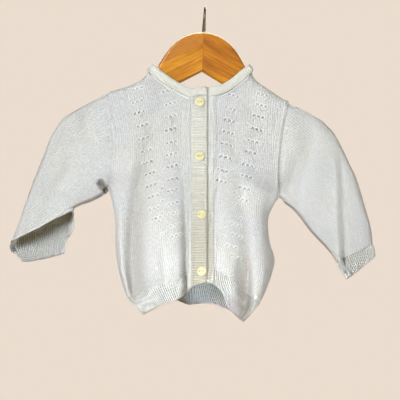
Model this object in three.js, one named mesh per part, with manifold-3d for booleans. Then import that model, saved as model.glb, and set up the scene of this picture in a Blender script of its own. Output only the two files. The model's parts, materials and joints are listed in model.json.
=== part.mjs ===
// A baby's fine-knit cardigan, buttoned, hanging on a varnished wooden child's hanger.
// Millimetres. +Z is up, -Y is the front of the cardigan, +X is the wearer's left.
// The origin is the inside top of the hook, where a rail or a nail carries the hanger.
//
// Every cloth piece is a thin wall. Its outer face is a function of two numbers, worked out
// from the tables of edges and sections below, and its inner face is that face moved in.

import * as THREE from 'three';
import * as BufferGeometryUtils from 'three/addons/utils/BufferGeometryUtils.js';
import Module from 'manifold-3d';

const wasm = await Module();
wasm.setup();

// ---------------------------------------------------------------- driving dimensions

const seamGap = 0.3;           // between any two pieces
const knitThickness = 1.6;     // fine plain knit
const ribThickness = 2.0;      // ribbed welts and cuffs
const bandThickness = 2.2;     // doubled front bands
const bandWidth = 17;          // each front band
const lapDepth = 2.6;          // how far the under front lies behind the upper one
const neckbandThickness = 3.2;

const buttonDiameter = 11.4;
const buttonThickness = 2.6;
const buttonRimWidth = 1.3;
const buttonDishDepth = 0.5;
const buttonHoleDiameter = 1.5;
const buttonHoleSpacing = 3.6;

const hangerThickness = 12;
const hangerEdgeRadius = 3;
const hangerTiltDegrees = 2.2;
const hangerApex = { x: -2, z: -26.7 };
const hangerHookBore = 3.0;
const wireDiameter = 2.4;

// ---------------------------------------------------------------- tables

// Body depth in front of and behind the hanger's middle plane, by height.
const bodyDepth = [
  { z: -345, front: 40, back: 29 },
  { z: -325, front: 42, back: 31 },
  { z: -300, front: 42, back: 31 },
  { z: -250, front: 37, back: 27 },
  { z: -200, front: 29, back: 22 },
  { z: -164, front: 23, back: 18 },
  { z: -130, front: 18, back: 15 },
  { z: -98, front: 13, back: 12 },
  { z: -60, front: 11, back: 10 },
];

// Levels of each front from hem to underarm: where its side and its band edge are.
const chestLevel = 0.56;
const weltLevel = 0.08;
const rightFrontLevels = [
  { level: 0.00, sideX: -68, sideZ: -337, centreX: -16, centreZ: -307 },
  { level: 0.08, sideX: -85, sideZ: -319, centreX: -16, centreZ: -290 },
  { level: 0.20, sideX: -94, sideZ: -292, centreX: -16, centreZ: -271 },
  { level: 0.33, sideX: -99, sideZ: -262, centreX: -16, centreZ: -248 },
  { level: 0.45, sideX: -99, sideZ: -231, centreX: -16, centreZ: -225 },
  { level: 0.56, sideX: -105.5, sideZ: -200.5, centreX: -15, centreZ: -203 },
];
const leftFrontLevels = [
  { level: 0.00, sideX: 42, sideZ: -345, centreX: 9, centreZ: -305 },
  { level: 0.08, sideX: 60, sideZ: -324, centreX: 9, centreZ: -288 },
  { level: 0.16, sideX: 70, sideZ: -301, centreX: 9, centreZ: -274 },
  { level: 0.25, sideX: 76, sideZ: -278, centreX: 9, centreZ: -258 },
  { level: 0.34, sideX: 71, sideZ: -257, centreX: 9, centreZ: -243 },
  { level: 0.45, sideX: 69, sideZ: -231, centreX: 9, centreZ: -224 },
  { level: 0.56, sideX: 78.5, sideZ: -210.5, centreX: 9, centreZ: -203 },
];

// Edges, as points from the side towards the centre front.
const rightShoulder = [[-108, -93], [-93, -88], [-81, -84], [-70, -78], [-62, -70]];
const leftShoulder = [[92, -103], [75, -93], [63, -84], [55, -78], [51, -70]];
const rightNeck = [[-62, -70], [-49, -80], [-36, -88], [-24, -95], [-15, -98]];
const leftNeck = [[51, -70], [44, -77], [30, -88], [19, -94], [9, -97]];
const rightHem = [[-68, -337], [-57, -331], [-44, -325], [-31, -321], [-22, -315], [-16, -307]];
const leftHem = [[42, -345], [33, -337], [25, -328], [20, -316], [15, -309], [9, -305]];
const backHem = [[-68, -337], [-50, -331], [-30, -326], [-6, -325], [14, -327], [30, -334],
  [42, -345]];
const backNeck = [[-62, -70], [-50, -81], [-36, -91], [-20, -98], [-6, -100],
  [9, -98], [25, -91], [39, -81], [51, -70]];

// Height of the neckband's seam and free edge, from the lapped end round to the other end.
// Negative depths are behind the middle plane.
const neckband = [
  { seamX: 1.5, seamZ: -95, seamDepth: 13, edgeX: 1.5, edgeZ: -83, edgeDepth: 12 },
  { seamX: -6, seamZ: -94.5, seamDepth: 13.2, edgeX: -6, edgeZ: -86, edgeDepth: 12 },
  { seamX: -15, seamZ: -97.4, seamDepth: 13, edgeX: -14, edgeZ: -88.5, edgeDepth: 12 },
  { seamX: -24, seamZ: -94.4, seamDepth: 12.8, edgeX: -22, edgeZ: -86.5, edgeDepth: 12 },
  { seamX: -36, seamZ: -87.4, seamDepth: 12.4, edgeX: -33, edgeZ: -80, edgeDepth: 11.5 },
  { seamX: -49, seamZ: -79.4, seamDepth: 11.5, edgeX: -45, edgeZ: -71.5, edgeDepth: 10.5 },
  { seamX: -59.5, seamZ: -71.2, seamDepth: 8.2, edgeX: -55, edgeZ: -63.5, edgeDepth: 6.5 },
  { seamX: -62.5, seamZ: -68.5, seamDepth: 0, edgeX: -57, edgeZ: -61.5, edgeDepth: 0 },
  { seamX: -60, seamZ: -70.5, seamDepth: -7, edgeX: -55.5, edgeZ: -64.5, edgeDepth: -6.5 },
  { seamX: -49, seamZ: -80, seamDepth: -10.5, edgeX: -46, edgeZ: -73, edgeDepth: -10 },
  { seamX: -36, seamZ: -89, seamDepth: -11.5, edgeX: -33.5, edgeZ: -82, edgeDepth: -11 },
  { seamX: -20, seamZ: -96.5, seamDepth: -12, edgeX: -19, edgeZ: -88.5, edgeDepth: -11.5 },
  { seamX: -6, seamZ: -98.5, seamDepth: -12, edgeX: -6, edgeZ: -90.5, edgeDepth: -11.5 },
  { seamX: 9, seamZ: -96.5, seamDepth: -12, edgeX: 8, edgeZ: -88.5, edgeDepth: -11.5 },
  { seamX: 25, seamZ: -89.5, seamDepth: -11.5, edgeX: 22.5, edgeZ: -82, edgeDepth: -11 },
  { seamX: 38, seamZ: -80, seamDepth: -10.5, edgeX: 35, edgeZ: -73, edgeDepth: -10 },
  { seamX: 49, seamZ: -70.5, seamDepth: -8.6, edgeX: 45, edgeZ: -65, edgeDepth: -8.4 },
  { seamX: 51.5, seamZ: -68.5, seamDepth: 0, edgeX: 47.5, edgeZ: -61.5, edgeDepth: 0 },
  { seamX: 50, seamZ: -70, seamDepth: 8.6, edgeX: 46, edgeZ: -63.5, edgeDepth: 8.4 },
  { seamX: 43, seamZ: -77.2, seamDepth: 11, edgeX: 39, edgeZ: -69, edgeDepth: 10 },
  { seamX: 30, seamZ: -87.4, seamDepth: 12, edgeX: 27, edgeZ: -79, edgeDepth: 11 },
  { seamX: 18, seamZ: -93.8, seamDepth: 12, edgeX: 16, edgeZ: -85, edgeDepth: 11 },
  { seamX: 9, seamZ: -95.5, seamDepth: 11, edgeX: 8, edgeZ: -86.5, edgeDepth: 10 },
  { seamX: 1, seamZ: -95.5, seamDepth: 9.4, edgeX: 0, edgeZ: -87, edgeDepth: 8.4 },
  { seamX: -7, seamZ: -95.5, seamDepth: 9, edgeX: -7, edgeZ: -87.5, edgeDepth: 8 },
];

// Sleeve sections from armhole to wrist. The top point and the low point are the ends of the
// section as seen from the front, front and back are its half depths, and bow bends it.
// lift raises the front face only, which is what turns a fold up under the cloth above it.
const armholeRight = {
  topX: -108, topZ: -93, lowX: -107, lowZ: -199, front: 14, back: 13, bow: 5.5, lift: 0 };
const armholeLeft = {
  topX: 92, topZ: -103, lowX: 80, lowZ: -209, front: 14, back: 13, bow: -4, lift: 0 };
const rightSleeve = [
  { at: 0.00, ...armholeRight },
  { at: 0.08, topX: -122, topZ: -101, lowX: -113, lowZ: -206, front: 15, back: 14, bow: 4, lift: 0 },
  { at: 0.17, topX: -138, topZ: -109, lowX: -121, lowZ: -211, front: 16, back: 15, bow: 2, lift: 0 },
  { at: 0.25, topX: -152, topZ: -115, lowX: -128, lowZ: -214, front: 17, back: 15, bow: 0, lift: 0 },
  { at: 0.32, topX: -162, topZ: -125, lowX: -134, lowZ: -216, front: 17, back: 15, bow: 0, lift: 0 },
  { at: 0.40, topX: -170, topZ: -141, lowX: -139, lowZ: -218, front: 17, back: 15, bow: 0, lift: 0 },
  { at: 0.50, topX: -179, topZ: -164, lowX: -143, lowZ: -220, front: 17, back: 15, bow: 0, lift: 0 },
  { at: 0.60, topX: -189, topZ: -190, lowX: -145, lowZ: -222, front: 17, back: 15, bow: 0, lift: 0 },
  { at: 0.70, topX: -200, topZ: -220, lowX: -146, lowZ: -224, front: 17, back: 15, bow: 0, lift: 0 },
  { at: 0.79, topX: -210, topZ: -249, lowX: -146, lowZ: -226, front: 18, back: 14, bow: 0, lift: 0 },
  { at: 0.84, topX: -213, topZ: -259, lowX: -146, lowZ: -228, front: 18, back: 14, bow: 0, lift: -2 },
  { at: 0.88, topX: -213, topZ: -260, lowX: -146, lowZ: -231, front: 12, back: 13, bow: 0, lift: 2 },
  { at: 0.92, topX: -213, topZ: -261, lowX: -147, lowZ: -236, front: 7, back: 13, bow: 0, lift: 4 },
  { at: 0.96, topX: -212, topZ: -262, lowX: -149, lowZ: -244, front: 6, back: 12, bow: 0, lift: 1 },
  { at: 1.00, topX: -211, topZ: -263, lowX: -152, lowZ: -253, front: 8, back: 11, bow: 0, lift: 0 },
];
const leftSleeve = [
  { at: 0.00, ...armholeLeft },
  { at: 0.08, topX: 106, topZ: -111, lowX: 87, lowZ: -215, front: 15, back: 14, bow: -3, lift: 0 },
  { at: 0.16, topX: 119, topZ: -118, lowX: 95, lowZ: -221, front: 16, back: 15, bow: -1, lift: 0 },
  { at: 0.24, topX: 131, topZ: -126, lowX: 102, lowZ: -228, front: 17, back: 15, bow: 0, lift: 0 },
  { at: 0.33, topX: 142, topZ: -138, lowX: 109, lowZ: -237, front: 18, back: 16, bow: 0, lift: 0 },
  { at: 0.44, topX: 152, topZ: -156, lowX: 117, lowZ: -247, front: 18, back: 16, bow: 0, lift: 0 },
  { at: 0.56, topX: 162, topZ: -177, lowX: 125, lowZ: -256, front: 18, back: 16, bow: 0, lift: 0 },
  { at: 0.68, topX: 171, topZ: -201, lowX: 132, lowZ: -263, front: 17, back: 15, bow: 0, lift: 0 },
  { at: 0.80, topX: 178, topZ: -225, lowX: 137, lowZ: -269, front: 16, back: 14, bow: 0, lift: 0 },
  { at: 0.91, topX: 183, topZ: -246, lowX: 141, lowZ: -275, front: 15, back: 13, bow: 0, lift: 0 },
  { at: 1.00, topX: 184, topZ: -259, lowX: 144, lowZ: -280, front: 14, back: 12, bow: 0, lift: 0 },
];
const rightCuff = [
  { at: 0.00, topX: -211, topZ: -263.5, lowX: -152, lowZ: -253.5, front: 7.7, back: 10.7, bow: 0, lift: 0 },
  { at: 0.40, topX: -209, topZ: -271, lowX: -154, lowZ: -260, front: 9, back: 11, bow: 0, lift: 0 },
  { at: 1.00, topX: -201, topZ: -279, lowX: -155, lowZ: -270, front: 9, back: 10, bow: 0, lift: 0 },
];
const leftCuff = [
  { at: 0.00, topX: 184, topZ: -259.5, lowX: 144, lowZ: -280.5, front: 13.7, back: 11.7, bow: 0, lift: 0 },
  { at: 0.50, topX: 186, topZ: -266, lowX: 147, lowZ: -287, front: 13, back: 12, bow: 0, lift: 0 },
  { at: 1.00, topX: 187, topZ: -273, lowX: 154, lowZ: -297, front: 12, back: 12, bow: 0, lift: 0 },
];

// The largest folds of the body, from top to bottom: a ridge has a positive height, a trough
// a negative one, and it grows from its top height to its low height.
const bodyFolds = [
  { face: 'right', topX: -66, topZ: -113, midX: -70, midZ: -185, lowX: -84, lowZ: -262,
    topHeight: -2, lowHeight: -5, width: 9 },
  { face: 'right', topX: -52, topZ: -120, midX: -50, midZ: -200, lowX: -47, lowZ: -318,
    topHeight: 1, lowHeight: 4, width: 10 },
  { face: 'right', topX: -30, topZ: -185, midX: -26, midZ: -240, lowX: -23, lowZ: -312,
    topHeight: 0, lowHeight: -11, width: 7 },
  { face: 'left', topX: 26, topZ: -130, midX: 30, midZ: -200, lowX: 33, lowZ: -300,
    topHeight: -2, lowHeight: -8, width: 9 },
  { face: 'left', topX: 42, topZ: -190, midX: 58, midZ: -245, lowX: 60, lowZ: -300,
    topHeight: 1, lowHeight: 6, width: 7 },
  { face: 'left', topX: 48, topZ: -284, midX: 46, midZ: -310, lowX: 43, lowZ: -338,
    topHeight: -3, lowHeight: -5, width: 4 },
  { face: 'back', topX: -58, topZ: -120, midX: -64, midZ: -200, lowX: -66, lowZ: -300,
    topHeight: -2, lowHeight: -7, width: 10 },
  { face: 'back', topX: -14, topZ: -130, midX: -10, midZ: -220, lowX: -16, lowZ: -318,
    topHeight: 0, lowHeight: -6, width: 9 },
  { face: 'back', topX: 34, topZ: -120, midX: 36, midZ: -200, lowX: 30, lowZ: -315,
    topHeight: -1, lowHeight: -7, width: 10 },
];

const buttonPlaces = [{ x: -6, z: -104 }, { x: -6, z: -164 }, { x: -4, z: -228 }, { x: -4, z: -290 }];

// The hanger's outline on one side, from the top of the round head out to the tip and back
// along the lower edge, measured before it is tilted.
const hangerHead = [[0, 0.5], [9.3, -0.5], [17.5, -3.2], [24.4, -7.2], [30.2, -11.7],
  [34.9, -16.6], [38.6, -21.6], [41.9, -26.6], [44.9, -31.8], [47.6, -36.5], [49, -42]];
const hangerArm = [[49, -48], [54, -58], [66, -63], [79, -69.5], [94, -78.5], [108, -86],
  [122, -94.5], [134, -103]];
const hangerTip = [[140, -110], [138, -117]];
const hangerLowerEdge = [[132, -118], [115, -108], [90, -95], [60, -78], [30, -60]];
const hangerNotch = { x: 0, z: -43 };

// The hook's wire, from the stem inside the wood, up behind, over the top and down in front.
const hookWire = [
  [-2.4, 0, -38], [-2.4, 0, -32], [-2.4, 0.3, -26], [-1.8, 4, -20.5], [-0.2, 9, -14.5],
  [0.9, 10.7, -9], [0.7, 8, -2.2], [0, 0, 1.2], [-0.5, -8, -2.2], [-0.8, -10.7, -9],
  [-0.8, -10.3, -15], [-0.6, -9.2, -20.5], [-0.4, -8.8, -24],
];

// ---------------------------------------------------------------- reading the tables

// A smooth reading of one column of a table at t, where key names the column of positions.
function read(rows, key, column, t) {
  const last = rows.length - 1;
  if (t <= rows[0][key]) return rows[0][column];
  if (t >= rows[last][key]) return rows[last][column];
  let i = 0;
  while (rows[i + 1][key] < t) i += 1;
  const slope = (k) => {
    const a = rows[Math.max(k - 1, 0)];
    const b = rows[Math.min(k + 1, last)];
    return (b[column] - a[column]) / (b[key] - a[key]);
  };
  const width = rows[i + 1][key] - rows[i][key];
  const s = (t - rows[i][key]) / width;
  const startWeight = (1 + 2 * s) * (1 - s) ** 2;
  const endWeight = s * s * (3 - 2 * s);
  return startWeight * rows[i][column] + endWeight * rows[i + 1][column]
    + width * (s * (1 - s) ** 2 * slope(i) - s * s * (1 - s) * slope(i + 1));
}

// A point on the smooth line through a short list of [x, z] points, at a share of its length.
function edgeLine(points) {
  const curve = new THREE.CatmullRomCurve3(
    points.map(([x, z]) => new THREE.Vector3(x, 0, z)), false, 'catmullrom', 0.5);
  return (share) => curve.getPointAt(Math.min(Math.max(share, 0), 1));
}

function smoothStep(low, high, value) {
  const s = Math.min(Math.max((value - low) / (high - low), 0), 1);
  return s * s * (3 - 2 * s);
}

function mix(a, b, share) {
  return a + (b - a) * share;
}

function superellipse(share, exponent) {
  return Math.max(1 - Math.abs(share) ** exponent, 0) ** (1 / exponent);
}

// ---------------------------------------------------------------- sleeve and armhole form

const sleeveExponent = 2.6;

function sectionAt(rows, at) {
  const section = {};
  for (const column of ['topX', 'topZ', 'lowX', 'lowZ', 'front', 'back', 'bow', 'lift']) {
    section[column] = read(rows, 'at', column, at);
  }
  return section;
}

// A point of a sleeve section. along runs from -1 at the low point to 1 at the top point.
function sectionPoint(section, along, isFront) {
  const halfX = (section.topX - section.lowX) / 2;
  const halfZ = (section.topZ - section.lowZ) / 2;
  const length = Math.hypot(halfX, halfZ);
  const middle = 1 - along * along;
  const bend = section.bow * middle;
  const lift = isFront ? section.lift * middle : 0;
  const depth = superellipse(along, sleeveExponent);
  return new THREE.Vector3(
    (section.topX + section.lowX) / 2 + halfX * along + bend * halfZ / length,
    isFront ? -section.front * depth : section.back * depth,
    (section.topZ + section.lowZ) / 2 + halfZ * along - bend * halfX / length + lift,
  );
}

// The outer face of a sleeve: turn goes once round, from the top over the front.
function sleeveSurface(rows) {
  return (turn, at) => {
    const angle = 2 * Math.PI * turn;
    const cosine = Math.cos(angle);
    const along = Math.sign(cosine) * Math.abs(cosine) ** (2 / sleeveExponent);
    return sectionPoint(sectionAt(rows, at), along, Math.sin(angle) >= 0);
  };
}

// ---------------------------------------------------------------- body form

const bodyExponent = 2.4;
const shoulderRoll = 14;      // height over which the cloth turns over the shoulder
const armholeHeight = 105;
const armholeBlend = 25;      // height above the underarm where the armhole takes over

function foldHeight(face, x, z) {
  let height = 0;
  for (const fold of bodyFolds) {
    if (fold.face !== face) continue;
    const s = Math.min(Math.max((fold.topZ - z) / (fold.topZ - fold.lowZ), 0), 1);
    const lineX = (1 - s) ** 2 * fold.topX + s * s * fold.lowX
      + 2 * s * (1 - s) * (2 * fold.midX - (fold.topX + fold.lowX) / 2);
    const beyond = Math.max(z - fold.topZ, fold.lowZ - z, 0);
    const fade = Math.exp(-((beyond / (2 * fold.width)) ** 2));
    const across = Math.exp(-(((x - lineX) / fold.width) ** 2));
    height += mix(fold.topHeight, fold.lowHeight, s) * across * fade;
  }
  return height;
}

// The top edge of a panel: the shoulder up to the neck point, then the neckline.
function topEdge(shoulder, neck, neckShare) {
  const shoulderLine = edgeLine(shoulder);
  const neckLine = edgeLine(neck);
  return (across) => (across < neckShare
    ? shoulderLine(across / neckShare)
    : neckLine((across - neckShare) / (1 - neckShare)));
}

// The outer face of one front. across runs from the side (0) to the band (1) and level from
// the hem (0) through the underarm (chestLevel) to the shoulder and neckline (1).
function frontSurface({ face, levels, armhole, shoulder, neck, hem, bandOffset }) {
  const neckShare = 0.48;
  const top = topEdge(shoulder, neck, neckShare);
  const bottom = edgeLine(hem);
  const neckEnd = neck[neck.length - 1];
  const side = (level) => {
    if (level > chestLevel) {
      const along = -1 + 2 * (level - chestLevel) / (1 - chestLevel);
      return sectionPoint(armhole, along, true);
    }
    return new THREE.Vector3(
      read(levels, 'level', 'sideX', level), 0, read(levels, 'level', 'sideZ', level));
  };
  const centre = (level) => {
    if (level > chestLevel) {
      const share = (level - chestLevel) / (1 - chestLevel);
      const chest = levels[levels.length - 1];
      return new THREE.Vector3(
        mix(chest.centreX, neckEnd[0], share), 0, mix(chest.centreZ, neckEnd[1], share));
    }
    return new THREE.Vector3(
      read(levels, 'level', 'centreX', level), 0, read(levels, 'level', 'centreZ', level));
  };
  return (across, level) => {
    const point = coonsPoint(side, centre, bottom, top, across, level);
    const edge = side(level);
    const aboveChest = smoothStep(0, 1, (level - chestLevel) / (1 - chestLevel)
      * armholeHeight / armholeBlend);
    const belowTop = (1 - level) / (1 - chestLevel) * armholeHeight;
    const roll = belowTop < shoulderRoll ? superellipse(1 - belowTop / shoulderRoll, 2) : 1;
    const overNeck = Math.max(across - neckShare, 0) / (1 - neckShare);
    const neckDepth = read(bodyDepth, 'z', 'front', neckEnd[1]) * superellipse(1 - overNeck, 2.6);
    const fullDepth = read(bodyDepth, 'z', 'front', point.z)
      * mix(superellipse(1 - across, bodyExponent), 1, aboveChest);
    const folds = foldHeight(face, point.x, point.z)
      * smoothStep(0, 0.12, across) * smoothStep(0, 0.1, 1 - across);
    const depth = mix(neckDepth, fullDepth + folds, roll);
    const atArmhole = aboveChest * (1 - across) ** 4;
    const lapShare = smoothStep(0.55, 1, across);
    point.y = -mix(depth - bandOffset * lapShare, -edge.y, atArmhole);
    return point;
  };
}

// A point inside four edges, each edge given by its share of length.
function coonsPoint(side, centre, bottom, top, across, level) {
  const sidePoint = side(level);
  const centrePoint = centre(level);
  const bottomPoint = bottom(across);
  const topPoint = top(across);
  const [b0, b1, t0, t1] = [bottom(0), bottom(1), top(0), top(1)];
  const value = (axis) => mix(sidePoint[axis], centrePoint[axis], across)
    + mix(bottomPoint[axis], topPoint[axis], level)
    - mix(mix(b0[axis], b1[axis], across), mix(t0[axis], t1[axis], across), level);
  return new THREE.Vector3(value('x'), 0, value('z'));
}

// The outer face of the back, from the wearer's right side (0) to the left side (1).
function backSurface() {
  const rightShare = 0.26;
  const shoulderRight = edgeLine(rightShoulder);
  const shoulderLeft = edgeLine([...leftShoulder].reverse());
  const neckLine = edgeLine(backNeck);
  const bottom = edgeLine(backHem);
  const top = (across) => {
    if (across < rightShare) return shoulderRight(across / rightShare);
    if (across > 1 - rightShare) return shoulderLeft((across - 1 + rightShare) / rightShare);
    return neckLine((across - rightShare) / (1 - 2 * rightShare));
  };
  const sideOf = (levels, armhole) => (level) => {
    if (level > chestLevel) {
      const along = -1 + 2 * (level - chestLevel) / (1 - chestLevel);
      return sectionPoint(armhole, along, false);
    }
    return new THREE.Vector3(
      read(levels, 'level', 'sideX', level), 0, read(levels, 'level', 'sideZ', level));
  };
  const right = sideOf(rightFrontLevels, armholeRight);
  const left = sideOf(leftFrontLevels, armholeLeft);
  return (across, level) => {
    const point = coonsPoint(right, left, bottom, top, across, level);
    const aboveChest = smoothStep(0, 1, (level - chestLevel) / (1 - chestLevel)
      * armholeHeight / armholeBlend);
    const belowTop = (1 - level) / (1 - chestLevel) * armholeHeight;
    const roll = belowTop < shoulderRoll ? superellipse(1 - belowTop / shoulderRoll, 2) : 1;
    const fromMiddle = Math.abs(2 * across - 1);
    const overNeck = Math.max(1 - 2 * rightShare - fromMiddle, 0) / (1 - 2 * rightShare);
    const neckDepth = read(bodyDepth, 'z', 'back', backNeck[4][1]) * superellipse(1 - overNeck, 3.2);
    const fullDepth = read(bodyDepth, 'z', 'back', point.z)
      * mix(superellipse(fromMiddle, bodyExponent), 1, aboveChest);
    const folds = foldHeight('back', point.x, point.z) * smoothStep(0, 0.15, 1 - fromMiddle);
    const depth = mix(neckDepth, fullDepth + folds, roll);
    const edge = across < 0.5 ? right(level) : left(level);
    point.y = mix(depth, edge.y, aboveChest * fromMiddle ** 8);
    return point;
  };
}

// ---------------------------------------------------------------- walls

function spacing(count, start = 0, end = 1, power = 1) {
  return Array.from({ length: count + 1 }, (_, i) => mix(start, end, (i / count) ** power));
}

function meshFromTriangles(points, triangles) {
  const geometry = new THREE.BufferGeometry();
  geometry.setAttribute('position',
    new THREE.Float32BufferAttribute(points.flatMap((p) => [p.x, p.y, p.z]), 3));
  let volume = 0;
  for (const [a, b, c] of triangles) {
    volume += points[a].dot(new THREE.Vector3().crossVectors(points[b], points[c]));
  }
  const ordered = volume > 0 ? triangles : triangles.map(([a, b, c]) => [a, c, b]);
  geometry.setIndex(ordered.flat());
  geometry.computeVertexNormals();
  return geometry;
}

// The direction straight out of a face at (u, v). outward is 1 or -1.
function faceNormal(surface, u, v, outward) {
  const step = 1e-4;
  const u0 = Math.max(u - step, 0);
  const u1 = Math.min(u + step, 1);
  const v0 = Math.max(v - step, 0);
  const v1 = Math.min(v + step, 1);
  const alongU = surface(u1, v).sub(surface(u0, v));
  const alongV = surface(u, v1).sub(surface(u, v0));
  return alongU.cross(alongV).normalize().multiplyScalar(outward);
}

// A wall of even thickness on a face. keep holds each point on its own side of a seam, and
// ring is true for a tube, whose first and last u are the same line.
function wall({ surface, us, vs, thickness, outward, keep = (p) => p, ring = false }) {
  const columns = ring ? us.slice(0, -1) : us;
  const outer = [];
  const inner = [];
  for (const v of vs) {
    for (const u of columns) {
      const point = surface(u, v);
      const normal = faceNormal(surface, u, v, outward);
      outer.push(keep(point.clone(), u, v));
      inner.push(keep(point.addScaledVector(normal, -thickness), u, v));
    }
  }
  const points = [...outer, ...inner];
  const shift = outer.length;
  const width = columns.length;
  const triangles = [];
  const quad = (a, b, c, d) => triangles.push([a, b, c], [a, c, d]);
  const lastColumn = ring ? width : width - 1;
  for (let j = 0; j < vs.length - 1; j += 1) {
    for (let i = 0; i < lastColumn; i += 1) {
      const a = j * width + i;
      const b = j * width + (i + 1) % width;
      quad(a, b, b + width, a + width);
      quad(shift + a, shift + a + width, shift + b + width, shift + b);
    }
    if (!ring) {
      const first = j * width;
      const last = first + width - 1;
      quad(first, first + width, first + width + shift, first + shift);
      quad(last, last + shift, last + width + shift, last + width);
    }
  }
  const topRow = (vs.length - 1) * width;
  for (let i = 0; i < lastColumn; i += 1) {
    const next = (i + 1) % width;
    quad(i, i + shift, next + shift, next);
    quad(topRow + i, topRow + next, topRow + next + shift, topRow + i + shift);
  }
  return meshFromTriangles(points, triangles);
}

// A solid through a row of closed sections, with flat ends.
function sectionSolid(sections) {
  const width = sections[0].length;
  const points = sections.flat();
  const triangles = [];
  for (let j = 0; j < sections.length - 1; j += 1) {
    for (let i = 0; i < width; i += 1) {
      const a = j * width + i;
      const b = j * width + (i + 1) % width;
      triangles.push([a, b, b + width], [a, b + width, a + width]);
    }
  }
  for (const [row, turn] of [[0, 1], [sections.length - 1, -1]]) {
    const centre = new THREE.Vector3();
    for (const point of sections[row]) centre.addScaledVector(point, 1 / width);
    points.push(centre);
    for (let i = 0; i < width; i += 1) {
      const a = row * width + i;
      const b = row * width + (i + 1) % width;
      triangles.push(turn > 0 ? [points.length - 1, b, a] : [points.length - 1, a, b]);
    }
  }
  return meshFromTriangles(points, triangles);
}

// ---------------------------------------------------------------- materials and group

const cardigan = new THREE.Group();

const knitMaterial = new THREE.MeshStandardMaterial(
  { color: 0xe6e7e9, roughness: 0.92, metalness: 0 });
const ribMaterial = new THREE.MeshStandardMaterial(
  { color: 0xe9e9e4, roughness: 0.92, metalness: 0 });
const buttonMaterial = new THREE.MeshStandardMaterial(
  { color: 0xefe9ae, roughness: 0.3, metalness: 0 });
const woodMaterial = new THREE.MeshStandardMaterial(
  { color: 0xc9882f, roughness: 0.3, metalness: 0 });
const wireMaterial = new THREE.MeshStandardMaterial(
  { color: 0x6b6454, roughness: 0.35, metalness: 1 });

function addPiece(name, geometry, material) {
  const mesh = new THREE.Mesh(geometry, material);
  mesh.name = name;
  cardigan.add(mesh);
}

// ---------------------------------------------------------------- body pieces

const inFront = (p) => {
  p.y = Math.min(p.y, -seamGap / 2);
  return p;
};
const behind = (p) => {
  p.y = Math.max(p.y, seamGap / 2);
  return p;
};

// Keeps a front clear of the sleeve along the armhole.
function clearOfSleeve(base, towardsCentre) {
  return (p, across, level) => {
    if (across === 0 && level >= chestLevel) p.x += towardsCentre * seamGap;
    return base(p);
  };
}

// Levels of the rows of a panel, closer together where it turns over the shoulder.
function panelLevels() {
  const rollLevel = shoulderRoll / armholeHeight * (1 - chestLevel);
  const lower = spacing(10, weltLevel + 0.001, chestLevel);
  const upper = spacing(6, chestLevel, 1 - rollLevel).slice(1);
  const turned = spacing(4).slice(1).map((s) => 1 - rollLevel * (1 - Math.sin(s * Math.PI / 2)));
  return [...lower, ...upper, ...turned];
}

function weltLevels() {
  return spacing(3, 0, weltLevel - 0.001);
}

const frontColumns = spacing(13, 0, 1, 1.5);
const backColumns = spacing(20).map((s) => {
  const fromMiddle = 1 - (1 - Math.abs(2 * s - 1)) ** 1.4;
  return 0.5 + Math.sign(s - 0.5) * fromMiddle / 2;
});

const rightFrontFace = frontSurface({
  face: 'right', levels: rightFrontLevels, armhole: armholeRight,
  shoulder: rightShoulder, neck: rightNeck, hem: rightHem, bandOffset: 0 });
const leftFrontFace = frontSurface({
  face: 'left', levels: leftFrontLevels, armhole: armholeLeft,
  shoulder: leftShoulder, neck: leftNeck, hem: leftHem, bandOffset: lapDepth });
const backFace = backSurface();

function addFronts() {
  const fronts = [
    { side: 'right', surface: rightFrontFace, outward: 1, towardsCentre: 1 },
    { side: 'left', surface: leftFrontFace, outward: -1, towardsCentre: -1 },
  ];
  for (const { side, surface, outward, towardsCentre } of fronts) {
    const keep = clearOfSleeve(inFront, towardsCentre);
    addPiece(`front_${side}`, wall({
      surface, us: frontColumns, vs: panelLevels(), thickness: knitThickness, outward, keep,
    }), knitMaterial);
    addPiece(`welt_front_${side}`, wall({
      surface, us: frontColumns, vs: weltLevels(), thickness: ribThickness, outward, keep,
    }), ribMaterial);
  }
}

function addBack() {
  const keep = (p, across, level) => {
    const atEdge = across === 0 || across === 1;
    if (atEdge && level >= chestLevel) p.x += across === 0 ? seamGap : -seamGap;
    return behind(p);
  };
  addPiece('back', wall({
    surface: backFace, us: backColumns, vs: panelLevels(), thickness: knitThickness,
    outward: -1, keep,
  }), knitMaterial);
  addPiece('welt_back', wall({
    surface: backFace, us: backColumns, vs: weltLevels(), thickness: ribThickness,
    outward: -1, keep,
  }), ribMaterial);
}

// A front band: a strip straight down the centre front, on the body's depth.
function frontBand({ fromX, toX, topZ, lowFromZ, lowToZ, offset }) {
  const surface = (across, level) => {
    const lowZ = mix(lowFromZ, lowToZ, across);
    const z = mix(lowZ, topZ, level);
    return new THREE.Vector3(
      mix(fromX, toX, across), -(read(bodyDepth, 'z', 'front', z) - offset), z);
  };
  return wall({
    surface, us: spacing(3), vs: spacing(18), thickness: bandThickness, outward: 1,
  });
}

function addFrontBands() {
  addPiece('buttonhole_band', frontBand({
    fromX: -15 + seamGap, toX: -15 + bandWidth, topZ: -98, lowFromZ: -307, lowToZ: -301,
    offset: 0 }), ribMaterial);
  addPiece('button_band', frontBand({
    fromX: 9 - bandWidth, toX: 9 - seamGap, topZ: -98, lowFromZ: -300, lowToZ: -304,
    offset: lapDepth }), ribMaterial);
}

// ---------------------------------------------------------------- sleeves and cuffs

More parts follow.
